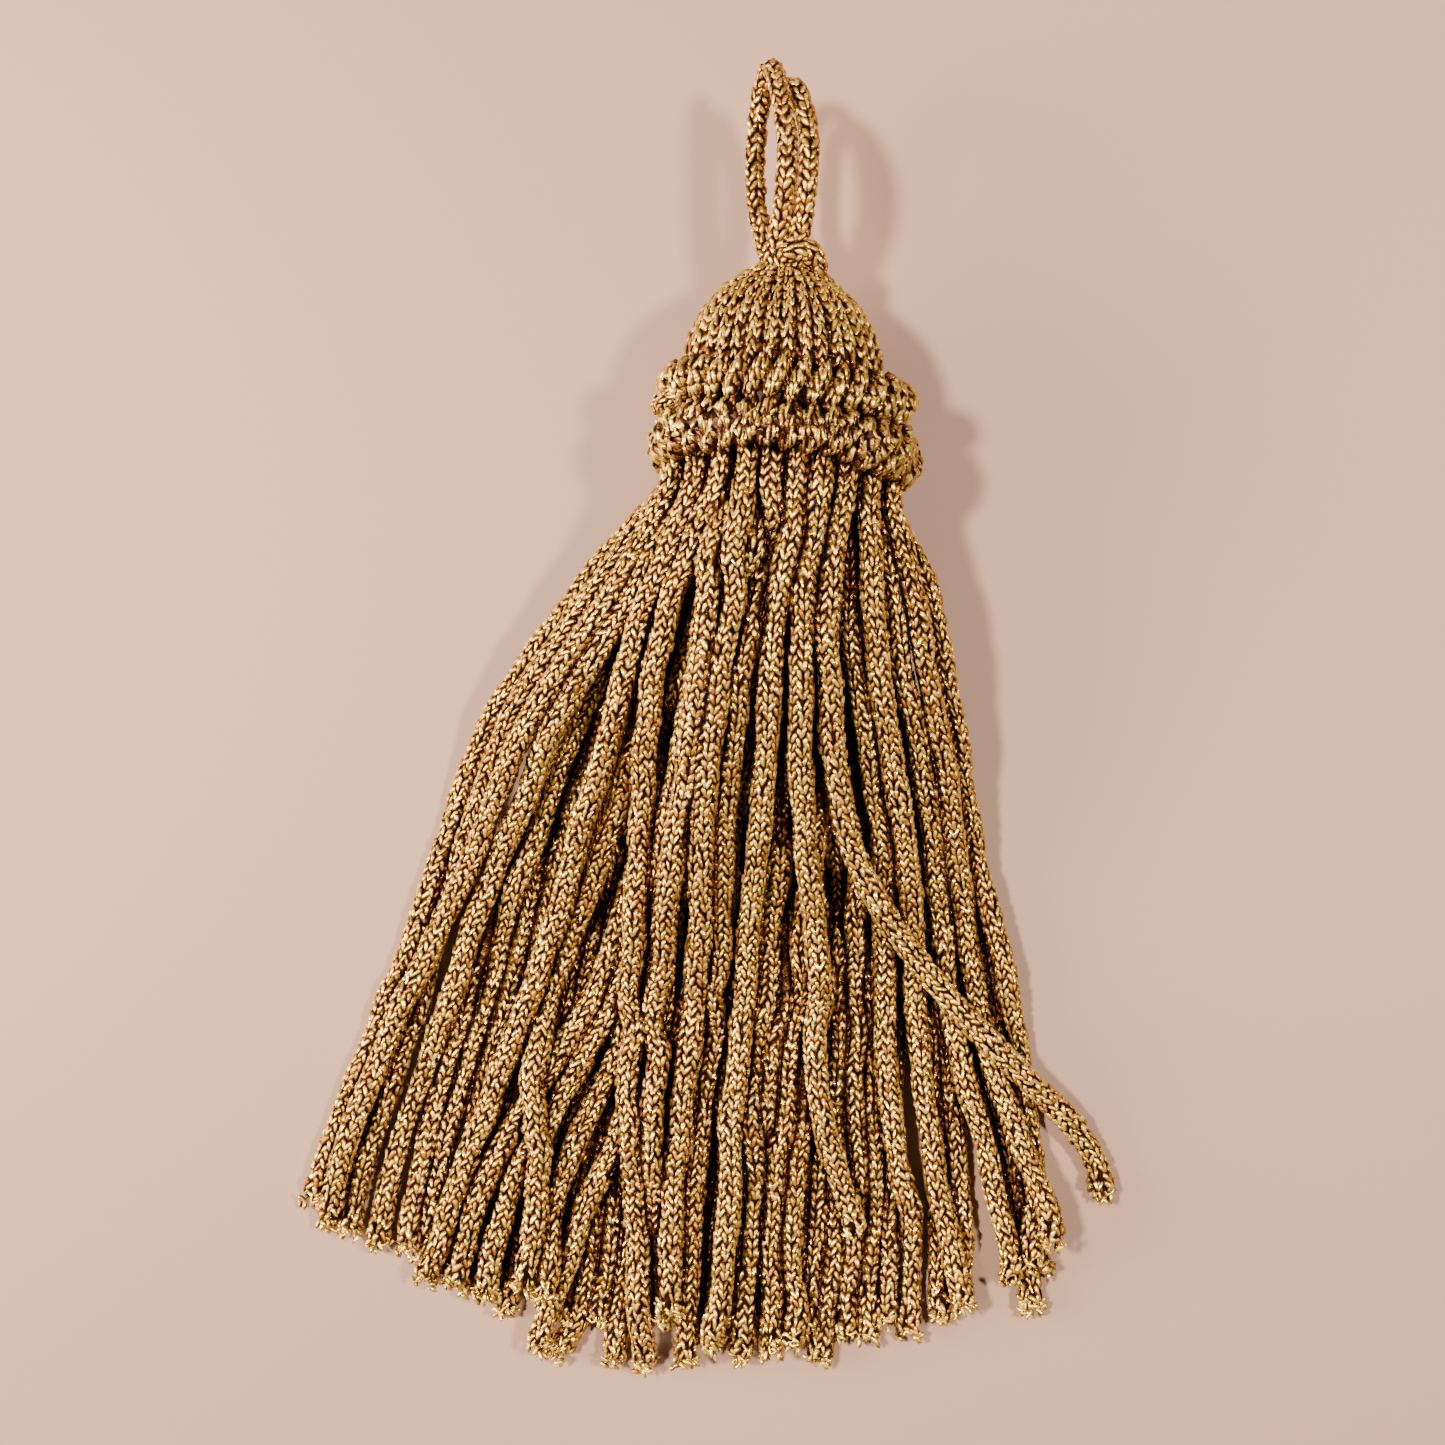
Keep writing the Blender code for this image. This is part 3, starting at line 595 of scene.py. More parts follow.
def hidden_plans(lay_y, chance):
    """The same for the strands under them, spread between the skirt's edges."""
    edge_y, left, right = np.array(EDGES[::-1]).T
    left = np.interp(lay_y, edge_y, left)
    right = np.interp(lay_y, edge_y, right)
    hem_x, hem_y = np.array(HEM).T
    begun = eased(np.clip((NECK_Y - lay_y) / SPREAD_LENGTH, 0.0, 1.0))
    shown = {(row[0], NECK_COLUMNS[row[0]] - 1 - row[1]) for row in SHOWN}
    plans = []
    for row, (shift, spread, wander) in enumerate(HIDDEN):
        columns = [c for c, rows in enumerate(NECK_COLUMNS) if row < rows and (c, row) not in shown]
        for column in columns:
            root_x, root_z = neck_point(column, row)
            share = spread * (2.0 * (column + 0.5 + shift) / len(NECK_COLUMNS) - 1.0)
            target = 0.5 * (left + right) + 0.5 * share * (right - left)
            swing = np.sin(2.0 * math.pi * (lay_y / chance.uniform(*WANDER_LENGTHS) + chance.uniform()))
            path = root_x + (target - root_x) * begun + wander * swing * begun
            near_hem = path[np.searchsorted(-lay_y, -HEM_NEAR_Y)]
            end_y = float(np.interp(near_hem, hem_x, hem_y)) + chance.uniform(*END_SPREAD)
            plans.append((root_z, root_x, root_z, smoothed(path, PATH_SMOOTHING), end_y, HIDDEN_DEPTH))
    return plans


print("the neck holds", sum(NECK_COLUMNS), "cords")

# %% [markdown]
# The cords of the pile are settled together, section by section. Those on top are then laid one at a time over what
# is already there, and a last pass parts any that still meet.

# %% Settle the pile
PACK_STEPS = 120
SETTLE_STEPS = 70
DRAW_SHARE = 0.12
SINK = 0.12
RISE_LENGTH = 6.0
PILE_TOP = 22.4
LOW_PILE = 5.2
SWEEPS = 14
SWEEP_STEPS = 14
PUSH_SHARE = 0.3
FLAT_EPSILON = 1e-5


def push_apart(x, z, there):
    """Moves the cords of a section off each other, each pair by equal shares, where both are there."""
    across = x[:, None] - x[None, :]
    up = z[:, None] - z[None, :]
    near = (np.abs(across) ** STACK_POWER + np.abs(up) ** STACK_POWER) ** (1.0 / STACK_POWER)
    near[np.arange(len(x)), np.arange(len(x))] = PRESSED
    overlap = np.clip(PRESSED - near, 0.0, None) * PUSH_SHARE * (there[:, None] & there[None, :])
    reach = np.hypot(across, up) + FLAT_EPSILON
    x = x + (overlap * across / reach).sum(axis=1)
    z = z + (overlap * up / reach).sum(axis=1)
    return x, np.maximum(z, CORD / 2.0)


def pack_under(plans, fallen):
    """The strands under the top ones: section by section they draw towards their places, sink and push apart."""
    x = np.array([plan[1] for plan in plans])
    z = np.array([plan[2] for plan in plans])
    root_z = z.copy()
    wanted = np.array([plan[3] for plan in plans])
    there = np.ones(len(plans), bool)
    packed = [(x, z)]
    for station in range(1, wanted.shape[1]):
        lowest = np.maximum(CORD / 2.0, root_z - fallen[station])
        for step in range(PACK_STEPS):
            if step < PACK_STEPS - SETTLE_STEPS:
                x = x + DRAW_SHARE * (wanted[:, station] - x)
                z = np.maximum(z - SINK, lowest)
            x, z = push_apart(x, z, there)
        packed.append((x, z))
    along_x = np.array([place[0] for place in packed]).T
    along_z = np.array([place[1] for place in packed]).T
    return [
        (smoothed(x, HEIGHT_SMOOTHING), smoothed(z, HEIGHT_SMOOTHING), *plan[4:])
        for x, z, plan in zip(along_x, along_z, plans)
    ]


def lay_over(plan, laid, lay_y, fallen):
    """A strand on top: it follows its own path and lies on those laid before it."""
    _, _, root_z, path, end_y, depth = plan
    height = np.maximum(CORD / 2.0, root_z - fallen)
    for other_path, other_height, other_end, _ in laid:
        beside = np.abs(path - other_path) / PRESSED
        over = PRESSED * np.clip(1.0 - beside**STACK_POWER, 0.0, 1.0) ** (1.0 / STACK_POWER)
        rest = np.where((beside < 1.0) & (lay_y > other_end), other_height + over, 0.0)
        height = np.maximum(height, rest)
    apart = STEEPEST * np.abs(lay_y[:, None] - lay_y[None, :])
    height = (height[None, :] - apart).max(axis=1)
    rise = np.clip((NECK_Y - lay_y) / RISE_LENGTH, 0.0, 1.0)
    height = root_z - fallen + (height - root_z + fallen) * rise
    return path, smoothed(height, HEIGHT_SMOOTHING), end_y, depth


def separate(laid, lay_y, fallen):
    """All the strands together: where any still meet they push apart, and none rises over the pile's top."""
    path = np.array([strand[0] for strand in laid])
    height = np.array([strand[1] for strand in laid])
    there = lay_y > np.array([strand[2] for strand in laid])[:, None] - 2.0 * LAY_STEP
    depth = np.array([strand[3] for strand in laid])[:, None]
    ceiling = np.maximum(PILE_TOP - fallen - depth, LOW_PILE - np.minimum(depth, PRESSED))
    root = path[:, 0].copy(), height[:, 0].copy()
    for sweep in range(SWEEPS):
        for _ in range(SWEEP_STEPS):
            height = np.minimum(height, ceiling)
            path, height = push_apart(path, height, there)
            path[:, 0], height[:, 0] = root
        if sweep < SWEEPS - 1:
            path = np.array([smoothed(row, 1) for row in path])
            height = np.array([smoothed(row, 1) for row in height])
    return [(x, z, strand[2]) for x, z, strand in zip(path, height, laid)]


def lay_strands():
    """Each strand's centre line, from the neck to its end, as rows of x, y and z."""
    chance = np.random.default_rng(SEED)
    lay_y = np.arange(NECK_Y, LAY_END, -LAY_STEP)
    bent = np.minimum(NECK_Y - lay_y, STEEPEST * FALL_RADIUS)
    fallen = bent * (NECK_Y - lay_y - bent / 2.0) / FALL_RADIUS
    plans = hidden_plans(lay_y, chance) + shown_plans(lay_y)
    plans.sort(key=lambda plan: plan[0])
    under = [plan for plan in plans if plan[0] < LIFT_ORDER]
    laid = pack_under(under, fallen)
    for plan in plans[len(under) :]:
        laid.append(lay_over(plan, laid, lay_y, fallen))
    laid = separate(laid, lay_y, fallen)
    return [
        np.column_stack([path, lay_y, height])[lay_y > end_y - LAY_STEP]
        for path, height, end_y in laid
    ]


lines = lay_strands()
print("cords laid:", len(lines), "top of the pile in mm:", round(max(line[:, 2].max() for line in lines), 1))

# %% [markdown]
# ## A cord as a surface
# A cord is a tube around its line. At each point of the line there is a direction along it, one up and one
# sideways; going round the tube mixes the last two. Slow waves keep it from looking like a pipe.

# %% Cords
CORD_TWIST = 0.03
YARN_HEIGHT = 0.50
SKIN_DEPTH = 0.14
SKIN_STEP = 2.5
SKIN_SIDES = 6
FEWEST_SKIN_ROWS = 3
LAST_STITCH = 0.8
LOOSE_LENGTH = 3.0
LOOSENESS = 1.6
FACING_DOWN = -0.45
DEEP = 0.72


def cord_surface(line, radius, flatness=0.0):
    """Where a place round a cord (an angle), along it (mm) and over it (mm) is in space."""
    along = lengths_along(line)
    ahead = unit_rows(np.gradient(line, along, axis=0))
    up = unit_rows(np.array([0.0, 0.0, 1.0]) - ahead * ahead[:, 2:3])
    beside = np.cross(ahead, up)
    table = np.column_stack([line, up * (1.0 - flatness), beside * (1.0 + flatness), radius])

    def surface(a, b, h):
        here = [np.interp(b, along, column) for column in table.T]
        centre = np.stack(here[0:3], axis=-1)
        up_here = np.stack(here[3:6], axis=-1)
        beside_here = np.stack(here[6:9], axis=-1)
        out = np.cos(a)[..., None] * up_here + np.sin(a)[..., None] * beside_here
        return centre + (here[9] + h)[..., None] * out

    return surface, along


def knitted_cord(line, radius, columns, pitch, point_ahead, start, flatness=0.0, shade=0.0, hidden_at=in_the_open):
    """A cord with its skin and its stitches, as chunks of mesh."""
    surface, lengths = cord_surface(line, radius, flatness)
    length = lengths[-1]
    turn = 2.0 * math.pi / columns
    twist = chance.normal(0.0, CORD_TWIST)
    row, column = np.meshgrid(np.arange(int(length / pitch)), np.arange(columns), indexing="ij")
    along = (row + 0.5 * (column % 2)).ravel() * pitch
    across = start + turn * column.ravel() + twist * along
    keep = along < length - LAST_STITCH * pitch
    along, across = along[keep], across[keep]
    hidden = hidden_at(across, along)
    height = YARN_HEIGHT * float(np.mean(radius))
    loose = np.clip(1.0 - (length - along) / LOOSE_LENGTH, 0.0, 1.0) * LOOSENESS
    fine = (np.cos(across) > FACING_DOWN) & (hidden < DEEP)
    chunks = []
    for leg, chosen in ((FINE_LEG, fine), (PLAIN_LEG, ~fine)):
        if chosen.any():
            chunks.append(
                knit(
                    surface, leg, across[chosen], along[chosen], turn, pitch, height, hidden_at, shade, point_ahead,
                    loose[chosen],
                )
            )
    skin_rows = np.linspace(0.0, length, max(FEWEST_SKIN_ROWS, int(length / SKIN_STEP)))
    around = np.linspace(0.0, 2.0 * math.pi, SKIN_SIDES, endpoint=False)
    chunks.append(skin(surface, around, skin_rows, SKIN_DEPTH * float(np.mean(radius))))
    return chunks


print("each cord has a skin of", SKIN_SIDES, "sides")

# %% [markdown]
# ## Frayed ends
# Each cord was cut, and its knitting has started to run: the last stitches have sprung open into a small clump of
# bare loops and tips of yarn. The clump is made of the same legs as the stitches, turned this way and that, and of a
# few thin tubes along hooked curves. The end of a real cord is a tangle, but the two together read the same.

# %% Make a tuft
CLUMP_LEGS = 24
CLUMP_LEG = (0.80, 1.0, 0.62)
CLUMP_REACH = (-0.8, 1.2)
CLUMP_WIDTH = 1.15
CLUMP_INNER = 0.45
CLUMP_OPENING = (0.9, 0.25)
CLUMP_TILT_DEG = 38.0
MOST_TILT = (1.2, 0.8)
CLUMP_PAINTED_LIGHT = 0.50
END_TONES = (0.45, 1.0)
TIPS = 5
TIP_SIDES = 3
TIP_POINTS = 6
TIP_RADIUS = 0.20
TIP_LENGTHS = (0.6, 1.7)
TIP_ROOT = 0.6
TIP_PLACE = 0.7
TIP_SHIFT = 0.4
TIP_FLARE = 0.8
TIP_FLARES = (0.2, 1.0)
TIP_PAINTED_LIGHT_FROM = 0.35
TIP_PAINTED_LIGHT_GAIN = 0.9
CURL_FROM = 0.4
HOOK_ASIDE = 0.9
HOOK_BACK = 1.1


def clump(end, axes, radius):
    """Loose legs of yarn round the end of a cord, as one chunk of mesh."""
    beside, ahead, up = axes
    shape, faces = FINE_LEG
    shape = (shape - LEG_CENTRE) * CLUMP_LEG
    turn = chance.uniform(0.0, 2.0 * math.pi, CLUMP_LEGS)
    out = np.cos(turn)[:, None] * up + np.sin(turn)[:, None] * beside
    share = chance.uniform(0.0, 1.0, CLUMP_LEGS)
    reach = CLUMP_REACH[0] + (CLUMP_REACH[1] - CLUMP_REACH[0]) * share
    opening = CLUMP_OPENING[0] + CLUMP_OPENING[1] * share
    spread = radius * CLUMP_WIDTH * chance.uniform(CLUMP_INNER, 1.0, CLUMP_LEGS) * opening
    centre = end + reach[:, None] * ahead + spread[:, None] * out
    tilts = np.radians(chance.normal(0.0, CLUMP_TILT_DEG, (2, CLUMP_LEGS, 1)))
    aside, outwards = [np.tan(np.clip(tilt, -most, most)) for tilt, most in zip(tilts, MOST_TILT)]
    long_way = unit_rows(ahead + aside * beside + outwards * out)
    wide = unit_rows(np.cross(long_way, out))
    high = np.cross(wide, long_way)
    points = centre[:, None] + sum(
        shape[None, :, axis : axis + 1] * way[:, None] for axis, way in enumerate((wide, long_way, high))
    )
    points[:, :, 2] = np.maximum(points[:, :, 2], 0.0)
    triangles = facing_out(points, np.repeat(faces[None], CLUMP_LEGS, axis=0))
    triangles = triangles + len(shape) * np.arange(CLUMP_LEGS)[:, None, None]
    # Painted light: the loose legs are lighter on top and darker underneath.
    painted_light = CLUMP_PAINTED_LIGHT + (1.0 - CLUMP_PAINTED_LIGHT) * np.clip(shape[:, 2] / shape[:, 2].max(), -CLUMP_PAINTED_LIGHT, 1.0)
    tone = np.repeat(chance.uniform(*END_TONES, (CLUMP_LEGS, 1)), len(shape), axis=1)
    return points.reshape(-1, 3), triangles.reshape(-1, 3), np.tile(painted_light, CLUMP_LEGS), tone.ravel()


def tube(path, radius):
    """A thin closed tube along a path, as one chunk of mesh."""
    surface, lengths = cord_surface(path, radius)
    around = np.linspace(0.0, 2.0 * math.pi, TIP_SIDES, endpoint=False)
    points, triangles, _, _ = skin(surface, around, lengths, 0.0)
    share = np.repeat(np.linspace(0.0, 1.0, len(path)), TIP_SIDES)
    # Painted shade at the root of each tip, in the clump, turning to painted light towards its end.
    painted_light = np.clip(TIP_PAINTED_LIGHT_FROM + TIP_PAINTED_LIGHT_GAIN * np.append(share, [0.0, 1.0]), 0.0, 1.0)
    return points, triangles, painted_light, np.full(len(points), chance.uniform(*END_TONES))


def tuft(line, radius):
    """The clump and the hooked tips of yarn at the end of a cord."""
    end = line[-1]
    ahead = line[-1] - line[-3]
    ahead /= np.linalg.norm(ahead)
    beside = np.cross(ahead, (0.0, 0.0, 1.0))
    beside /= np.linalg.norm(beside)
    up = np.cross(beside, ahead)
    chunks = [clump(end, (beside, ahead, up), radius)]
    share = np.linspace(0.0, 1.0, TIP_POINTS)[:, None]
    for number in range(TIPS):
        turn = 2.0 * math.pi * (number + chance.uniform(-TIP_SHIFT, TIP_SHIFT)) / TIPS
        out = math.cos(turn) * up + math.sin(turn) * beside
        bend = chance.choice([-1.0, 1.0]) * (math.cos(turn) * beside - math.sin(turn) * up)
        curl = np.clip(share - CURL_FROM, 0.0, 1.0) / (1.0 - CURL_FROM)
        reach = chance.uniform(*TIP_LENGTHS)
        path = end + TIP_PLACE * radius * out + (share * (reach + TIP_ROOT) - TIP_ROOT) * ahead
        path = path + share**2 * TIP_FLARE * chance.uniform(*TIP_FLARES) * out
        path = path + curl**2 * HOOK_ASIDE * bend - curl**3 * HOOK_BACK * ahead
        path[:, 2] = np.maximum(path[:, 2], TIP_RADIUS)
        chunks.append(tube(path, np.full(TIP_POINTS, TIP_RADIUS)))
    return chunks


print("a tuft has", CLUMP_LEGS, "loose legs and", TIPS, "tips")

# %% [markdown]
# ## How much light a cord gets
# Down between the cords it is nearly black. Renderers find that by themselves when they follow the light, but a
# bright metallic yarn hides it, and a viewer on a screen doesn't follow the light at all. So the darkness is worked
# out from the lines of the cords. From each place round a cord, short probes go out in a few directions across the
# skirt. One that runs into another cord, or into the floor, takes away its share of the light. A cord that lies in
# a valley between two higher ones gets a little less all round.

# %% Work out the light
PROBE_TURNS_DEG = (-62.0, -32.0, 0.0, 32.0, 62.0)
PROBES = ((0.4, 1.0), (1.0, 0.75), (1.8, 0.45), (3.0, 0.25))
AROUND = 12
CORD_RADIUS = 1.06
COVER_RADIUS = 1.12
NEAR = 2.6
FULL_DEPTH = 2.4
SUNK_SHADE = 0.26
HIDING = 2.05
OPEN_SKY = 0.05
MOST_HIDDEN = 0.78
COLLAR_SHADE_Y = (-4.4, -1.4)
COLLAR_SHADE = 0.4


def light_missed(lines, index):
    """For each station of a cord and each place round it, how much of the light the other cords take."""
    line = lines[index]
    count = len(line)
    turns = np.linspace(0.0, 2.0 * math.pi, AROUND, endpoint=False)
    out = np.array([[-math.sin(turn), math.cos(turn)] for turn in turns])
    missed = np.zeros((count, AROUND))
    weights = 0.0
    for probe_deg in PROBE_TURNS_DEG:
        probe_turn = math.radians(probe_deg)
        weight = math.cos(probe_turn)
        weights += weight
        ahead = np.array([[-math.sin(turn + probe_turn), math.cos(turn + probe_turn)] for turn in turns])
        taken = np.zeros((count, AROUND))
        for distance, share in PROBES:
            place = line[:, None, [0, 2]] + CORD_RADIUS * out + distance * ahead
            blocked = (place[:, :, 1] < 0.0) & (out[None, :, 1] < FACING_DOWN)
            for other in lines[:index] + lines[index + 1 :]:
                both = min(count, len(other))
                apart = place[:both] - other[:both, None, [0, 2]]
                blocked[:both] |= (apart**2).sum(axis=-1) < COVER_RADIUS**2
            taken = np.maximum(taken, share * blocked)
        missed += weight * taken
    return missed / weights


def sunk(lines, index):
    """How deep a cord lies in a valley between higher ones on both sides, at each station, from 0 to 1."""
    line = lines[index]
    tops = [line[:, 2].copy(), line[:, 2].copy()]
    for other in lines[:index] + lines[index + 1 :]:
        both = min(len(line), len(other))
        apart = other[:both, 0] - line[:both, 0]
        for side, top in zip((-1.0, 1.0), tops):
            near = (side * apart > 0.0) & (side * apart < NEAR)
            top[:both] = np.where(near, np.maximum(top[:both], other[:both, 2]), top[:both])
    return np.clip((np.minimum(*tops) - line[:, 2]) / FULL_DEPTH, 0.0, 1.0)


def cord_hidden(line, missed):
    """A function for the light missed at any angle and place along a cord, looked up in a table of it."""
    lengths = lengths_along(line)
    table = np.hstack([missed, missed[:, :1]])

    def hidden_at(angle, along):
        station = np.interp(along, lengths, np.arange(len(line)))
        row = np.clip(station.astype(int), 0, len(line) - 2)
        part = station - row
        spot = (angle % (2.0 * math.pi)) * AROUND / (2.0 * math.pi)
        column = np.clip(spot.astype(int), 0, AROUND - 1)
        side = spot - column
        near = table[row, column] * (1.0 - side) + table[row, column + 1] * side
        far = table[row + 1, column] * (1.0 - side) + table[row + 1, column + 1] * side
        y = np.interp(along, lengths, line[:, 1])
        collar = np.clip((y - COLLAR_SHADE_Y[0]) / (COLLAR_SHADE_Y[1] - COLLAR_SHADE_Y[0]), 0.0, 1.0)
        taken = (near * (1.0 - part) + far * part - OPEN_SKY) / (1.0 - OPEN_SKY)
        return np.clip(HIDING * taken + COLLAR_SHADE * collar, 0.0, MOST_HIDDEN)

    return hidden_at


print("probes for each place:", len(PROBE_TURNS_DEG) * len(PROBES))

# %% [markdown]
# ## The skirt
# Every cord gets its stitches, its light and its tuft. The cords are joined in a few objects, because one mesh of
# them all would be too heavy, and hundreds of objects would be slow. A cord isn't quite straight or quite even, so
# its line and its radius wave a little.

# %% Knit the skirt
CORD_COLUMNS = 6
CORD_PITCH = 1.03
CORD_FLATNESS = 0.03
TUCK_Y = (-0.6, -1.6, -2.6, -3.6)
SKIRT_PIECES = 6
WAVE_LENGTHS = (7.0, 15.0)
WAVE_WIDTH = 0.10
WAVE_LIFT = 0.5
WAVE_SWELL = 0.05
FREE_LENGTH = 8.0
THICKNESS_SPREAD = 0.03
CORD_TONE_SPREAD = 0.05
END_LENGTH = 4.0
END_SWELL = 0.12
STITCH_ROOM = 0.16


def tucked(line):
    """The line with a short start inside the collar."""
    starts = [(line[0, 0], y, line[0, 2]) for y in TUCK_Y]
    return np.vstack([starts, line])


def wave(y):
    """A slow, irregular wave along a cord, of about 1 at its peaks."""
    total = np.zeros(len(y))
    for _ in range(2):
        length = chance.uniform(*WAVE_LENGTHS)
        total += np.sin(2.0 * math.pi * (y / length + chance.uniform()))
    return total / math.sqrt(2.0)


lines = [tucked(line) for line in lines]
groups = [[] for _ in range(SKIRT_PIECES)]
order = sorted(range(len(lines)), key=lambda index: lines[index][-1, 0])
for rank, index in enumerate(order):
    missed = light_missed(lines, index) + SUNK_SHADE * sunk(lines, index)[:, None]
    line = lines[index].copy()
    free = np.clip((NECK_Y - line[:, 1]) / FREE_LENGTH, 0.0, 1.0)
    line[:, 0] += WAVE_WIDTH * wave(line[:, 1]) * free
    line[:, 2] += WAVE_LIFT * WAVE_WIDTH * wave(line[:, 1]) * free
    radius = CORD_RADIUS * (1.0 + WAVE_SWELL * wave(line[:, 1]) + chance.normal(0.0, THICKNESS_SPREAD))
    radius *= 1.0 + END_SWELL * np.clip((line[-1, 1] + END_LENGTH - line[:, 1]) / END_LENGTH, 0.0, 1.0)
    line[:, 2] = np.maximum(line[:, 2], radius + STITCH_ROOM)
    start = chance.uniform(0.0, 2.0 * math.pi)
    shade = chance.normal(0.0, CORD_TONE_SPREAD)
    hidden_at = cord_hidden(line, missed)
    parts = knitted_cord(line, radius, CORD_COLUMNS, CORD_PITCH, True, start, CORD_FLATNESS, shade, hidden_at)
    groups[rank * SKIRT_PIECES // len(order)] += parts + tuft(line, CORD_RADIUS)
for number, parts in enumerate(groups):
    joined(f"skirt_cords_{number + 1}", parts, skirt_yarn, ["skirt"])

# %% [markdown]
# ## The collar
# Two rolls of cord go round the neck. Each is one surface: a fat ring whose section is a round bulge, with a ridge
# for every cord that is wound over it. The stitches run over the bulge, three columns to a cord. No two cords of a
# roll are alike: each stands out a little more or less, and sits a little higher or lower. The lower roll's cords
# lean, and it is thinner at the top, where the skirt pushes it up.

# %% The rolls
AXIS_Z = NECK_MIDDLE_Z
CORE_RADIUS = 9.2
RIBS = 34
RIB_POWER = 0.7
LOWER_ROLL = {
    "x": 0.0, "y": 0.0, "length": 3.15, "width": 14.0, "height": 12.8, "rib": 1.35, "lean_deg": 12.0,
    "arch": 1.4, "slimmer": 0.75, "uneven": 0.28, "drift": 0.20, "turn": 0.0,
}
UPPER_ROLL = {
    "x": -0.6, "y": 5.65, "length": 2.35, "width": 13.0, "height": 12.4, "rib": 1.9, "lean_deg": 3.0,
    "arch": 0.1, "slimmer": 0.0, "uneven": 0.30, "drift": 0.18, "turn": 1.0,
}
ROLL_REACH_DEG = 104.0
ROLL_COLUMNS = 3
ROLL_ROWS = 5
ROW_SHIFT = 0.7
RIB_POINTS = 4
SECTION_POINTS = 16
UNDERSIDE_FADE = 2.0
ROLL_YARN = 0.60
ROLL_SHADE = 0.25
ROLL_FAT = 1.3
ROLL_SPLAY = 0.35
ROLL_LOOSENESS = 0.2
SEAM_SHADE = 0.9
TUCK_SHADE = 0.95
TUCK_GAIN = 2.2
TUCK_START = 0.95


def rib_at(turn):
    """How far a cord stands out round the tassel, from 0 between two cords to 1 on top of one."""
    return np.abs(np.sin(0.5 * RIBS * turn)) ** RIB_POWER


def for_each_rib(turn, values):
    """The value of the cord that lies at an angle round the tassel, blended from cord to cord."""
    spot = (turn / (2.0 * math.pi) * RIBS - 0.5) % RIBS
    low = np.floor(spot).astype(int)
    part = eased(spot - low)
    return values[low % RIBS] * (1.0 - part) + values[(low + 1) % RIBS] * part


def lean_at(spec, over):
    """How far a rib has turned round the tassel at an angle over the roll. Turn is in halves of a rib."""
    return math.radians(spec["lean_deg"]) * np.sin(over) + spec["turn"] * math.pi / RIBS


def roll_surface(spec, stand, slide):
    """Where a place round the tassel, over the roll and out of it is in space."""

    def surface(a, b, h):
        lean = lean_at(spec, b)
        top = np.clip(np.sin(a), 0.0, 1.0) ** 2
        outer = 1.0 / np.hypot(np.cos(a) / spec["width"], np.sin(a) / spec["height"])
        outer = outer + for_each_rib(a + lean, stand) * np.clip(1.0 + UNDERSIDE_FADE * np.sin(a), 0.0, 1.0)
        bulge = spec["rib"] * (rib_at(a + lean) - 1.0) + h
        middle = 0.5 * (outer + CORE_RADIUS)
        half = 0.5 * (outer - CORE_RADIUS)
        r = middle + (half + bulge) * np.cos(b)
        length = spec["length"] - spec["slimmer"] * top
        y = spec["y"] + spec["arch"] * top + for_each_rib(a, slide) + (length + bulge) * np.sin(b)
        z = np.maximum(AXIS_Z + r * np.sin(a), 0.0)
        return np.stack([spec["x"] + r * np.cos(a), y, z], axis=-1)

    return surface


def knitted_roll(spec):
    """A roll's skin and its stitches, as chunks of mesh."""
    stand = chance.normal(0.0, spec["uneven"], RIBS)
    slide = chance.normal(0.0, spec["drift"], RIBS)
    surface = roll_surface(spec, stand, slide)
    reach = math.radians(ROLL_REACH_DEG)
    count = RIBS * ROLL_COLUMNS
    column, row = np.meshgrid(np.arange(count), np.arange(ROLL_ROWS), indexing="ij")
    width = 2.0 * math.pi / count
    pitch = 2.0 * reach / (ROLL_ROWS + 1.0)
    across = (column + 0.5) * width
    along = -reach + (row + chance.uniform(0.0, ROW_SHIFT, (count, 1))) * pitch
    leaned = across - lean_at(spec, along)

    # Painted shade: darker in the seams between the roll's cords and where it tucks in towards the next roll.
    def hidden_at(angle, over):
        seam = 1.0 - rib_at(angle + lean_at(spec, over))
        tuck = np.clip(TUCK_GAIN * np.abs(over) / reach - TUCK_START, 0.0, 1.0)
        return 1.0 - (1.0 - SEAM_SHADE * seam) * (1.0 - TUCK_SHADE * tuck)

    stitches = knit(
        surface, FINE_LEG, leaned, along, width, pitch, ROLL_YARN, hidden_at, ROLL_SHADE, False, ROLL_LOOSENESS,
        ROLL_FAT, ROLL_SPLAY,
    )
    around = np.linspace(0.0, 2.0 * math.pi, RIBS * RIB_POINTS, endpoint=False)
    over = np.linspace(-math.pi, math.pi, SECTION_POINTS)
    ring = skin(surface, around, over, SKIN_DEPTH, closed=True, capped=False)
    return [ring, stitches]


# A turn of cord that shows at the left, between the rolls, as x, y, z.
BUMP = ((-9.6, 4.9, 17.4), (-12.4, 4.2, 15.6), (-13.4, 3.6, 13.0), (-12.6, 3.3, 10.4), (-10.2, 3.3, 8.6))
BUMP_POINTS = 17
BUMP_RADIUS = 0.95

joined("lower_roll_cords", knitted_roll(LOWER_ROLL), roll_yarn, ["lower_roll"])
bump_steps = np.linspace(0, len(BUMP) - 1, BUMP_POINTS)
bump_line = np.array([[np.interp(step, range(len(BUMP)), axis) for axis in zip(*BUMP)] for step in bump_steps])
bump = knitted_cord(bump_line, np.full(BUMP_POINTS, BUMP_RADIUS), CORD_COLUMNS, CORD_PITCH, True, 0.0)
upper = knitted_roll(UPPER_ROLL) + bump
joined("upper_roll_cords", upper, roll_yarn, ["upper_roll"])

# %% [markdown]
# ## The head
# The dome is covered with cords laid side by side from the crown to the collar. It is made like the rolls, from a
# function for the ridged dome. Two columns of stitches run down each cord. Towards the crown there is room for only
# one, so the rows near the top have half as many.

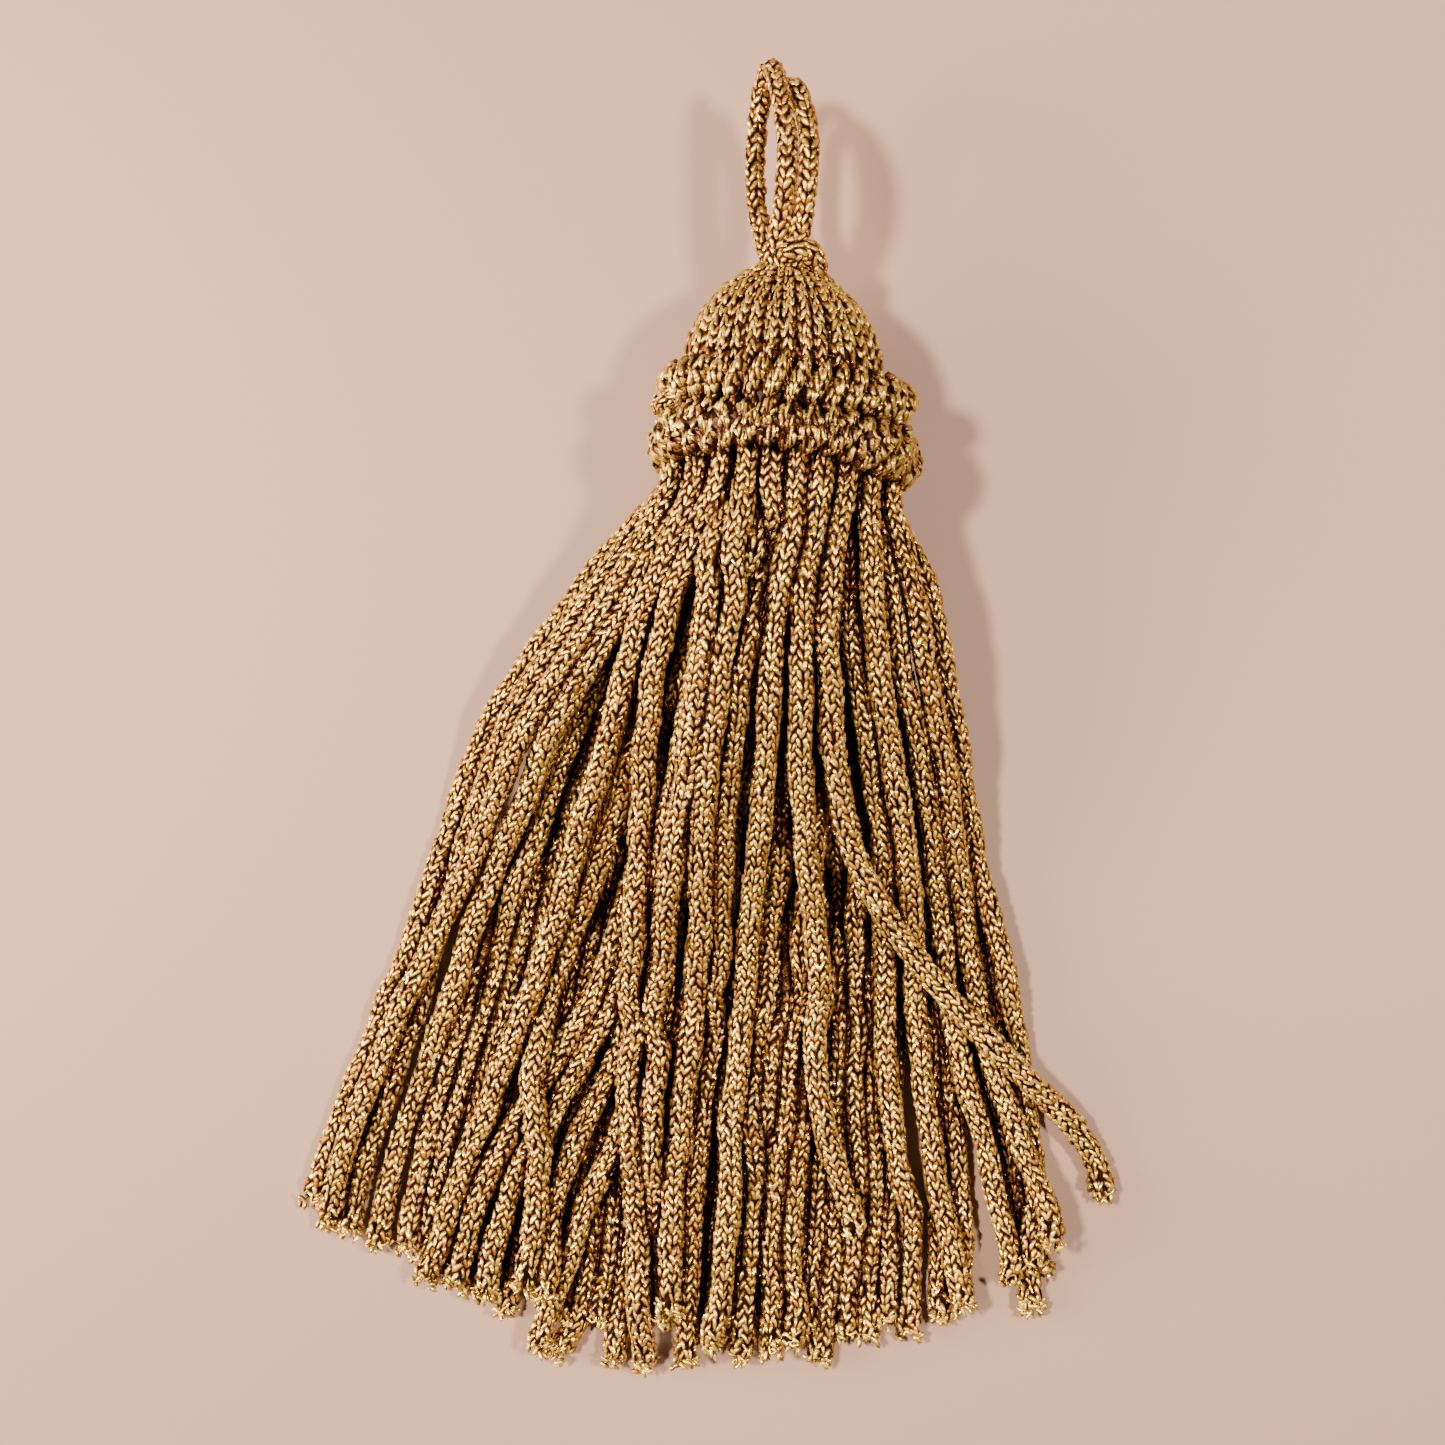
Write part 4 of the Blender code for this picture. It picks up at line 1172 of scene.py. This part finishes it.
# %% The head
HEAD_BASE_Y = 7.4
HEAD_TOP_Y = 19.4
HEAD_RADIUS = 10.3
HEAD_TOP_RADIUS = 1.6
HEAD_CURVE = 2.1
HEAD_SHOULDER = 0.75
HEAD_X = (-0.8, -1.7)
HEAD_RIB = 0.95
HEAD_ROWS = 15
HEAD_YARN = 0.54
HEAD_FAT = 1.25
HEAD_LOOSENESS = 0.3
HEAD_SHADE = 0.18
HEAD_SEAM_SHADE = 0.85
HEAD_BASE_SHADE = 0.6
HEAD_BASE_ROWS = 2.0
HEAD_MOST_HIDDEN = 0.9
HEAD_ROW_SHIFT = 0.8
HEAD_SKIN_ROWS = 14
HEAD_UNEVEN = 0.16
FEW_COLUMNS_UNDER = 6.2
EDGE = 0.01


def head_profile(share):
    """The dome's radius and its place along the tassel, at a share of the way from the collar to the crown."""
    rise = np.sin(0.5 * math.pi * np.clip(share, 0.0, 1.0))
    swell = np.clip(1.0 - rise**HEAD_CURVE, 0.0, 1.0) ** HEAD_SHOULDER
    radius = HEAD_TOP_RADIUS + (HEAD_RADIUS - HEAD_TOP_RADIUS) * swell
    return radius, HEAD_BASE_Y + (HEAD_TOP_Y - HEAD_BASE_Y) * rise


head_stand = chance.normal(0.0, HEAD_UNEVEN, RIBS)


def head_surface(a, b, h):
    """Where a place round the dome, up it (a share of the way) and out of it is in space."""
    share = np.clip(b, EDGE, 1.0 - EDGE)
    radius, y = head_profile(share)
    wider, lower = head_profile(share - EDGE)
    narrower, higher = head_profile(share + EDGE)
    steps = np.hypot(wider - narrower, higher - lower)
    outward, upward = (higher - lower) / steps, (wider - narrower) / steps
    around = np.clip(radius / HEAD_RADIUS, 0.0, 1.0)
    lift = h + (HEAD_RIB * (rib_at(a) - 1.0) + for_each_rib(a, head_stand)) * around
    r = radius + lift * outward
    x = HEAD_X[0] + (HEAD_X[1] - HEAD_X[0]) * share + r * np.cos(a)
    return np.stack([x, y + lift * upward, AXIS_Z + r * np.sin(a)], axis=-1)


def head_hidden(angle, share):
    """The light missed between two cords and down beside the collar, painted into the yarn's colour as shade."""
    collar = np.clip(1.0 - share * HEAD_ROWS / HEAD_BASE_ROWS, 0.0, 1.0)
    between = HEAD_SEAM_SHADE * (1.0 - rib_at(angle))
    return np.clip(between + HEAD_BASE_SHADE * collar, 0.0, HEAD_MOST_HIDDEN)


chunks = []
pitch = 1.0 / HEAD_ROWS
phases = chance.uniform(0.0, 1.0, 2 * RIBS)
for row in range(HEAD_ROWS):
    radius = float(head_profile(np.array((row + 0.5) * pitch))[0])
    count = RIBS * (2 if radius > FEW_COLUMNS_UNDER else 1)
    width = 2.0 * math.pi / count
    across = (np.arange(count) + 0.5) * width
    along = (row + HEAD_ROW_SHIFT * (phases[:: len(phases) // count] - 0.5)) * pitch
    chunks.append(
        knit(
            head_surface, FINE_LEG, across, along, width, pitch, HEAD_YARN, head_hidden, HEAD_SHADE, False,
            HEAD_LOOSENESS, HEAD_FAT,
        )
    )
around = np.linspace(0.0, 2.0 * math.pi, RIBS * RIB_POINTS, endpoint=False)
chunks.append(skin(head_surface, around, np.linspace(0.0, 1.0, HEAD_SKIN_ROWS), SKIN_DEPTH))
joined("head_cords", chunks, head_yarn, ["head"])

# %% [markdown]
# ## The hanging loop
# The loop is one cord that goes round twice, so two turns lie side by side and stand up a little off the floor. Its
# turns follow the plain solid's route, with the same smooth curve drawn through a few points. The knot at its foot
# is a short cord of its own, which bends over the crown and sinks into it.

# %% The loop
# The hanging loop's two turns, from the end of the upper leg over the bend to the end of the lower one, as x, y, z.
# The right turn's lower leg lies under its upper one.
LOOP_LEFT = (
    (-2.95, 20.15, 14.7),
    (-2.80, 22.2, 16.0),
    (-2.60, 27.0, 18.0),
    (-2.95, 31.5, 18.2),
    (-4.10, 36.2, 16.9),
    (-5.15, 39.3, 14.4),
    (-5.95, 37.3, 11.6),
    (-6.10, 32.5, 9.9),
    (-5.65, 27.5, 9.6),
    (-4.50, 23.0, 10.4),
    (-3.40, 20.1, 11.2),
)
LOOP_RIGHT = (
    (-0.75, 20.05, 14.7),
    (-0.60, 22.1, 16.0),
    (-0.35, 26.8, 18.1),
    (-0.70, 31.3, 18.3),
    (-1.75, 35.3, 16.8),
    (-2.95, 37.6, 14.2),
    (-3.40, 36.0, 11.6),
    (-2.70, 32.4, 10.0),
    (-2.20, 27.4, 9.7),
    (-1.60, 23.0, 10.4),
    (-1.15, 20.05, 11.2),
)
LOOP_POINTS = 40
ROUTE_STEPS = 12
LOOP_RADIUS = 0.92
LOOP_COLUMNS = 4
LOOP_PITCH = 1.02
LOOP_SHADE = -0.18

# The knot at the foot of the loop, from left to right over the crown, as x, y, z.
KNOT = ((-2.3, 19.7, 15.2), (-0.9, 20.4, 15.9), (0.5, 20.5, 15.5), (1.35, 19.7, 14.7), (1.6, 18.7, 13.4))
KNOT_POINTS = 12
KNOT_RADIUS = 1.05
SINK_INTO_HEAD = 1.4


def smooth_route(points, count):
    """As many points as asked, evenly spaced along a smooth curve through the given ones."""
    known = np.array(points, float)
    padded = np.vstack([2 * known[0] - known[1], known, 2 * known[-1] - known[-2]])
    fine = []
    for i in range(len(known) - 1):
        p0, p1, p2, p3 = padded[i : i + 4]
        for t in np.arange(0.0, 1.0, 1.0 / ROUTE_STEPS):
            bend = (2 * p0 - 5 * p1 + 4 * p2 - p3) * t * t + (3 * p1 - p0 - 3 * p2 + p3) * t**3
            fine.append(0.5 * (2 * p1 + (p2 - p0) * t + bend))
    fine.append(known[-1])
    fine = np.array(fine)
    along = lengths_along(fine)
    wanted = np.linspace(0.0, along[-1], count)
    return np.column_stack([np.interp(wanted, along, fine[:, axis]) for axis in range(3)])


def rooted(route):
    """The route with both ends carried on into the head."""
    first = route[0] + (0.0, -SINK_INTO_HEAD, 0.0)
    last = route[-1] + (0.0, -SINK_INTO_HEAD, 0.0)
    return np.vstack([first, route, last])


TURNS = (
    ("loop_left", LOOP_LEFT, LOOP_POINTS, LOOP_RADIUS),
    ("loop_right", LOOP_RIGHT, LOOP_POINTS, LOOP_RADIUS),
    ("hitch", KNOT, KNOT_POINTS, KNOT_RADIUS),
)
for name, points, count, thickness in TURNS:
    route = rooted(smooth_route(points, count))
    radius = np.full(len(route), thickness)
    parts = knitted_cord(route, radius, LOOP_COLUMNS, LOOP_PITCH, False, 0.0, shade=LOOP_SHADE)
    joined(name + "_cord", parts, loop_yarn, [name])

# %% [markdown]
# ## The floor and the light
# The floor is a plain pale plane just under the tassel. Two small lamps stand high up on either side, so a shadow
# falls to the right and a fainter one to the left. A wide, low lamp at the left and an even light all round keep the
# shadows soft and bring out the gold.

# %% Floor and lights
FLOOR_COLOR = (0.27, 0.145, 0.09, 1.0)
FLOOR_ROUGHNESS = 0.6
FLOOR_SIZE = 3.0
FLOOR_Z = -0.00005

deselect_all()
bpy.ops.mesh.primitive_plane_add(size=FLOOR_SIZE, location=(0.0, 0.0, FLOOR_Z))
floor = bpy.context.object
floor.name = "pale_floor"
paint = bpy.data.materials.new("pale_floor")
paint.use_nodes = True
coat = paint.node_tree.nodes["Principled BSDF"]
coat.inputs["Base Color"].default_value = FLOOR_COLOR
coat.inputs["Roughness"].default_value = FLOOR_ROUGHNESS
floor.data.materials.append(paint)

# The lamps: name, place, size and power.
LAMPS = (
    ("key_lamp", (-0.33, 0.02, 0.66), 0.08, 14.0),
    ("far_lamp", (0.32, 0.05, 0.64), 0.08, 9.5),
    ("left_lamp", (-0.62, -0.10, 0.28), 0.40, 15.0),
)
LAMP_COLOR = (1.0, 0.94, 0.86)
AIM = (0.0, -0.03, 0.0)
for name, place, size, power in LAMPS:
    lamp = bpy.data.lights.new(name, "AREA")
    lamp.shape = "DISK"
    lamp.size = size
    lamp.energy = power
    lamp.color = LAMP_COLOR
    item = bpy.data.objects.new(name, lamp)
    item.location = place
    aim = [goal - start for goal, start in zip(AIM, place)]
    item.rotation_euler = (
        math.atan2(math.hypot(aim[0], aim[1]), -aim[2]),
        0.0,
        math.atan2(aim[1], aim[0]) - math.pi / 2,
    )
    bpy.context.scene.collection.objects.link(item)

SKY = (0.84, 0.79, 0.70, 1.0)
SKY_STRENGTH = 0.16
world = bpy.data.worlds.new("soft_light")
world.use_nodes = True
world.node_tree.nodes["Background"].inputs["Color"].default_value = SKY
world.node_tree.nodes["Background"].inputs["Strength"].default_value = SKY_STRENGTH
bpy.context.scene.world = world
print("lamps:", [name for name, *_ in LAMPS])
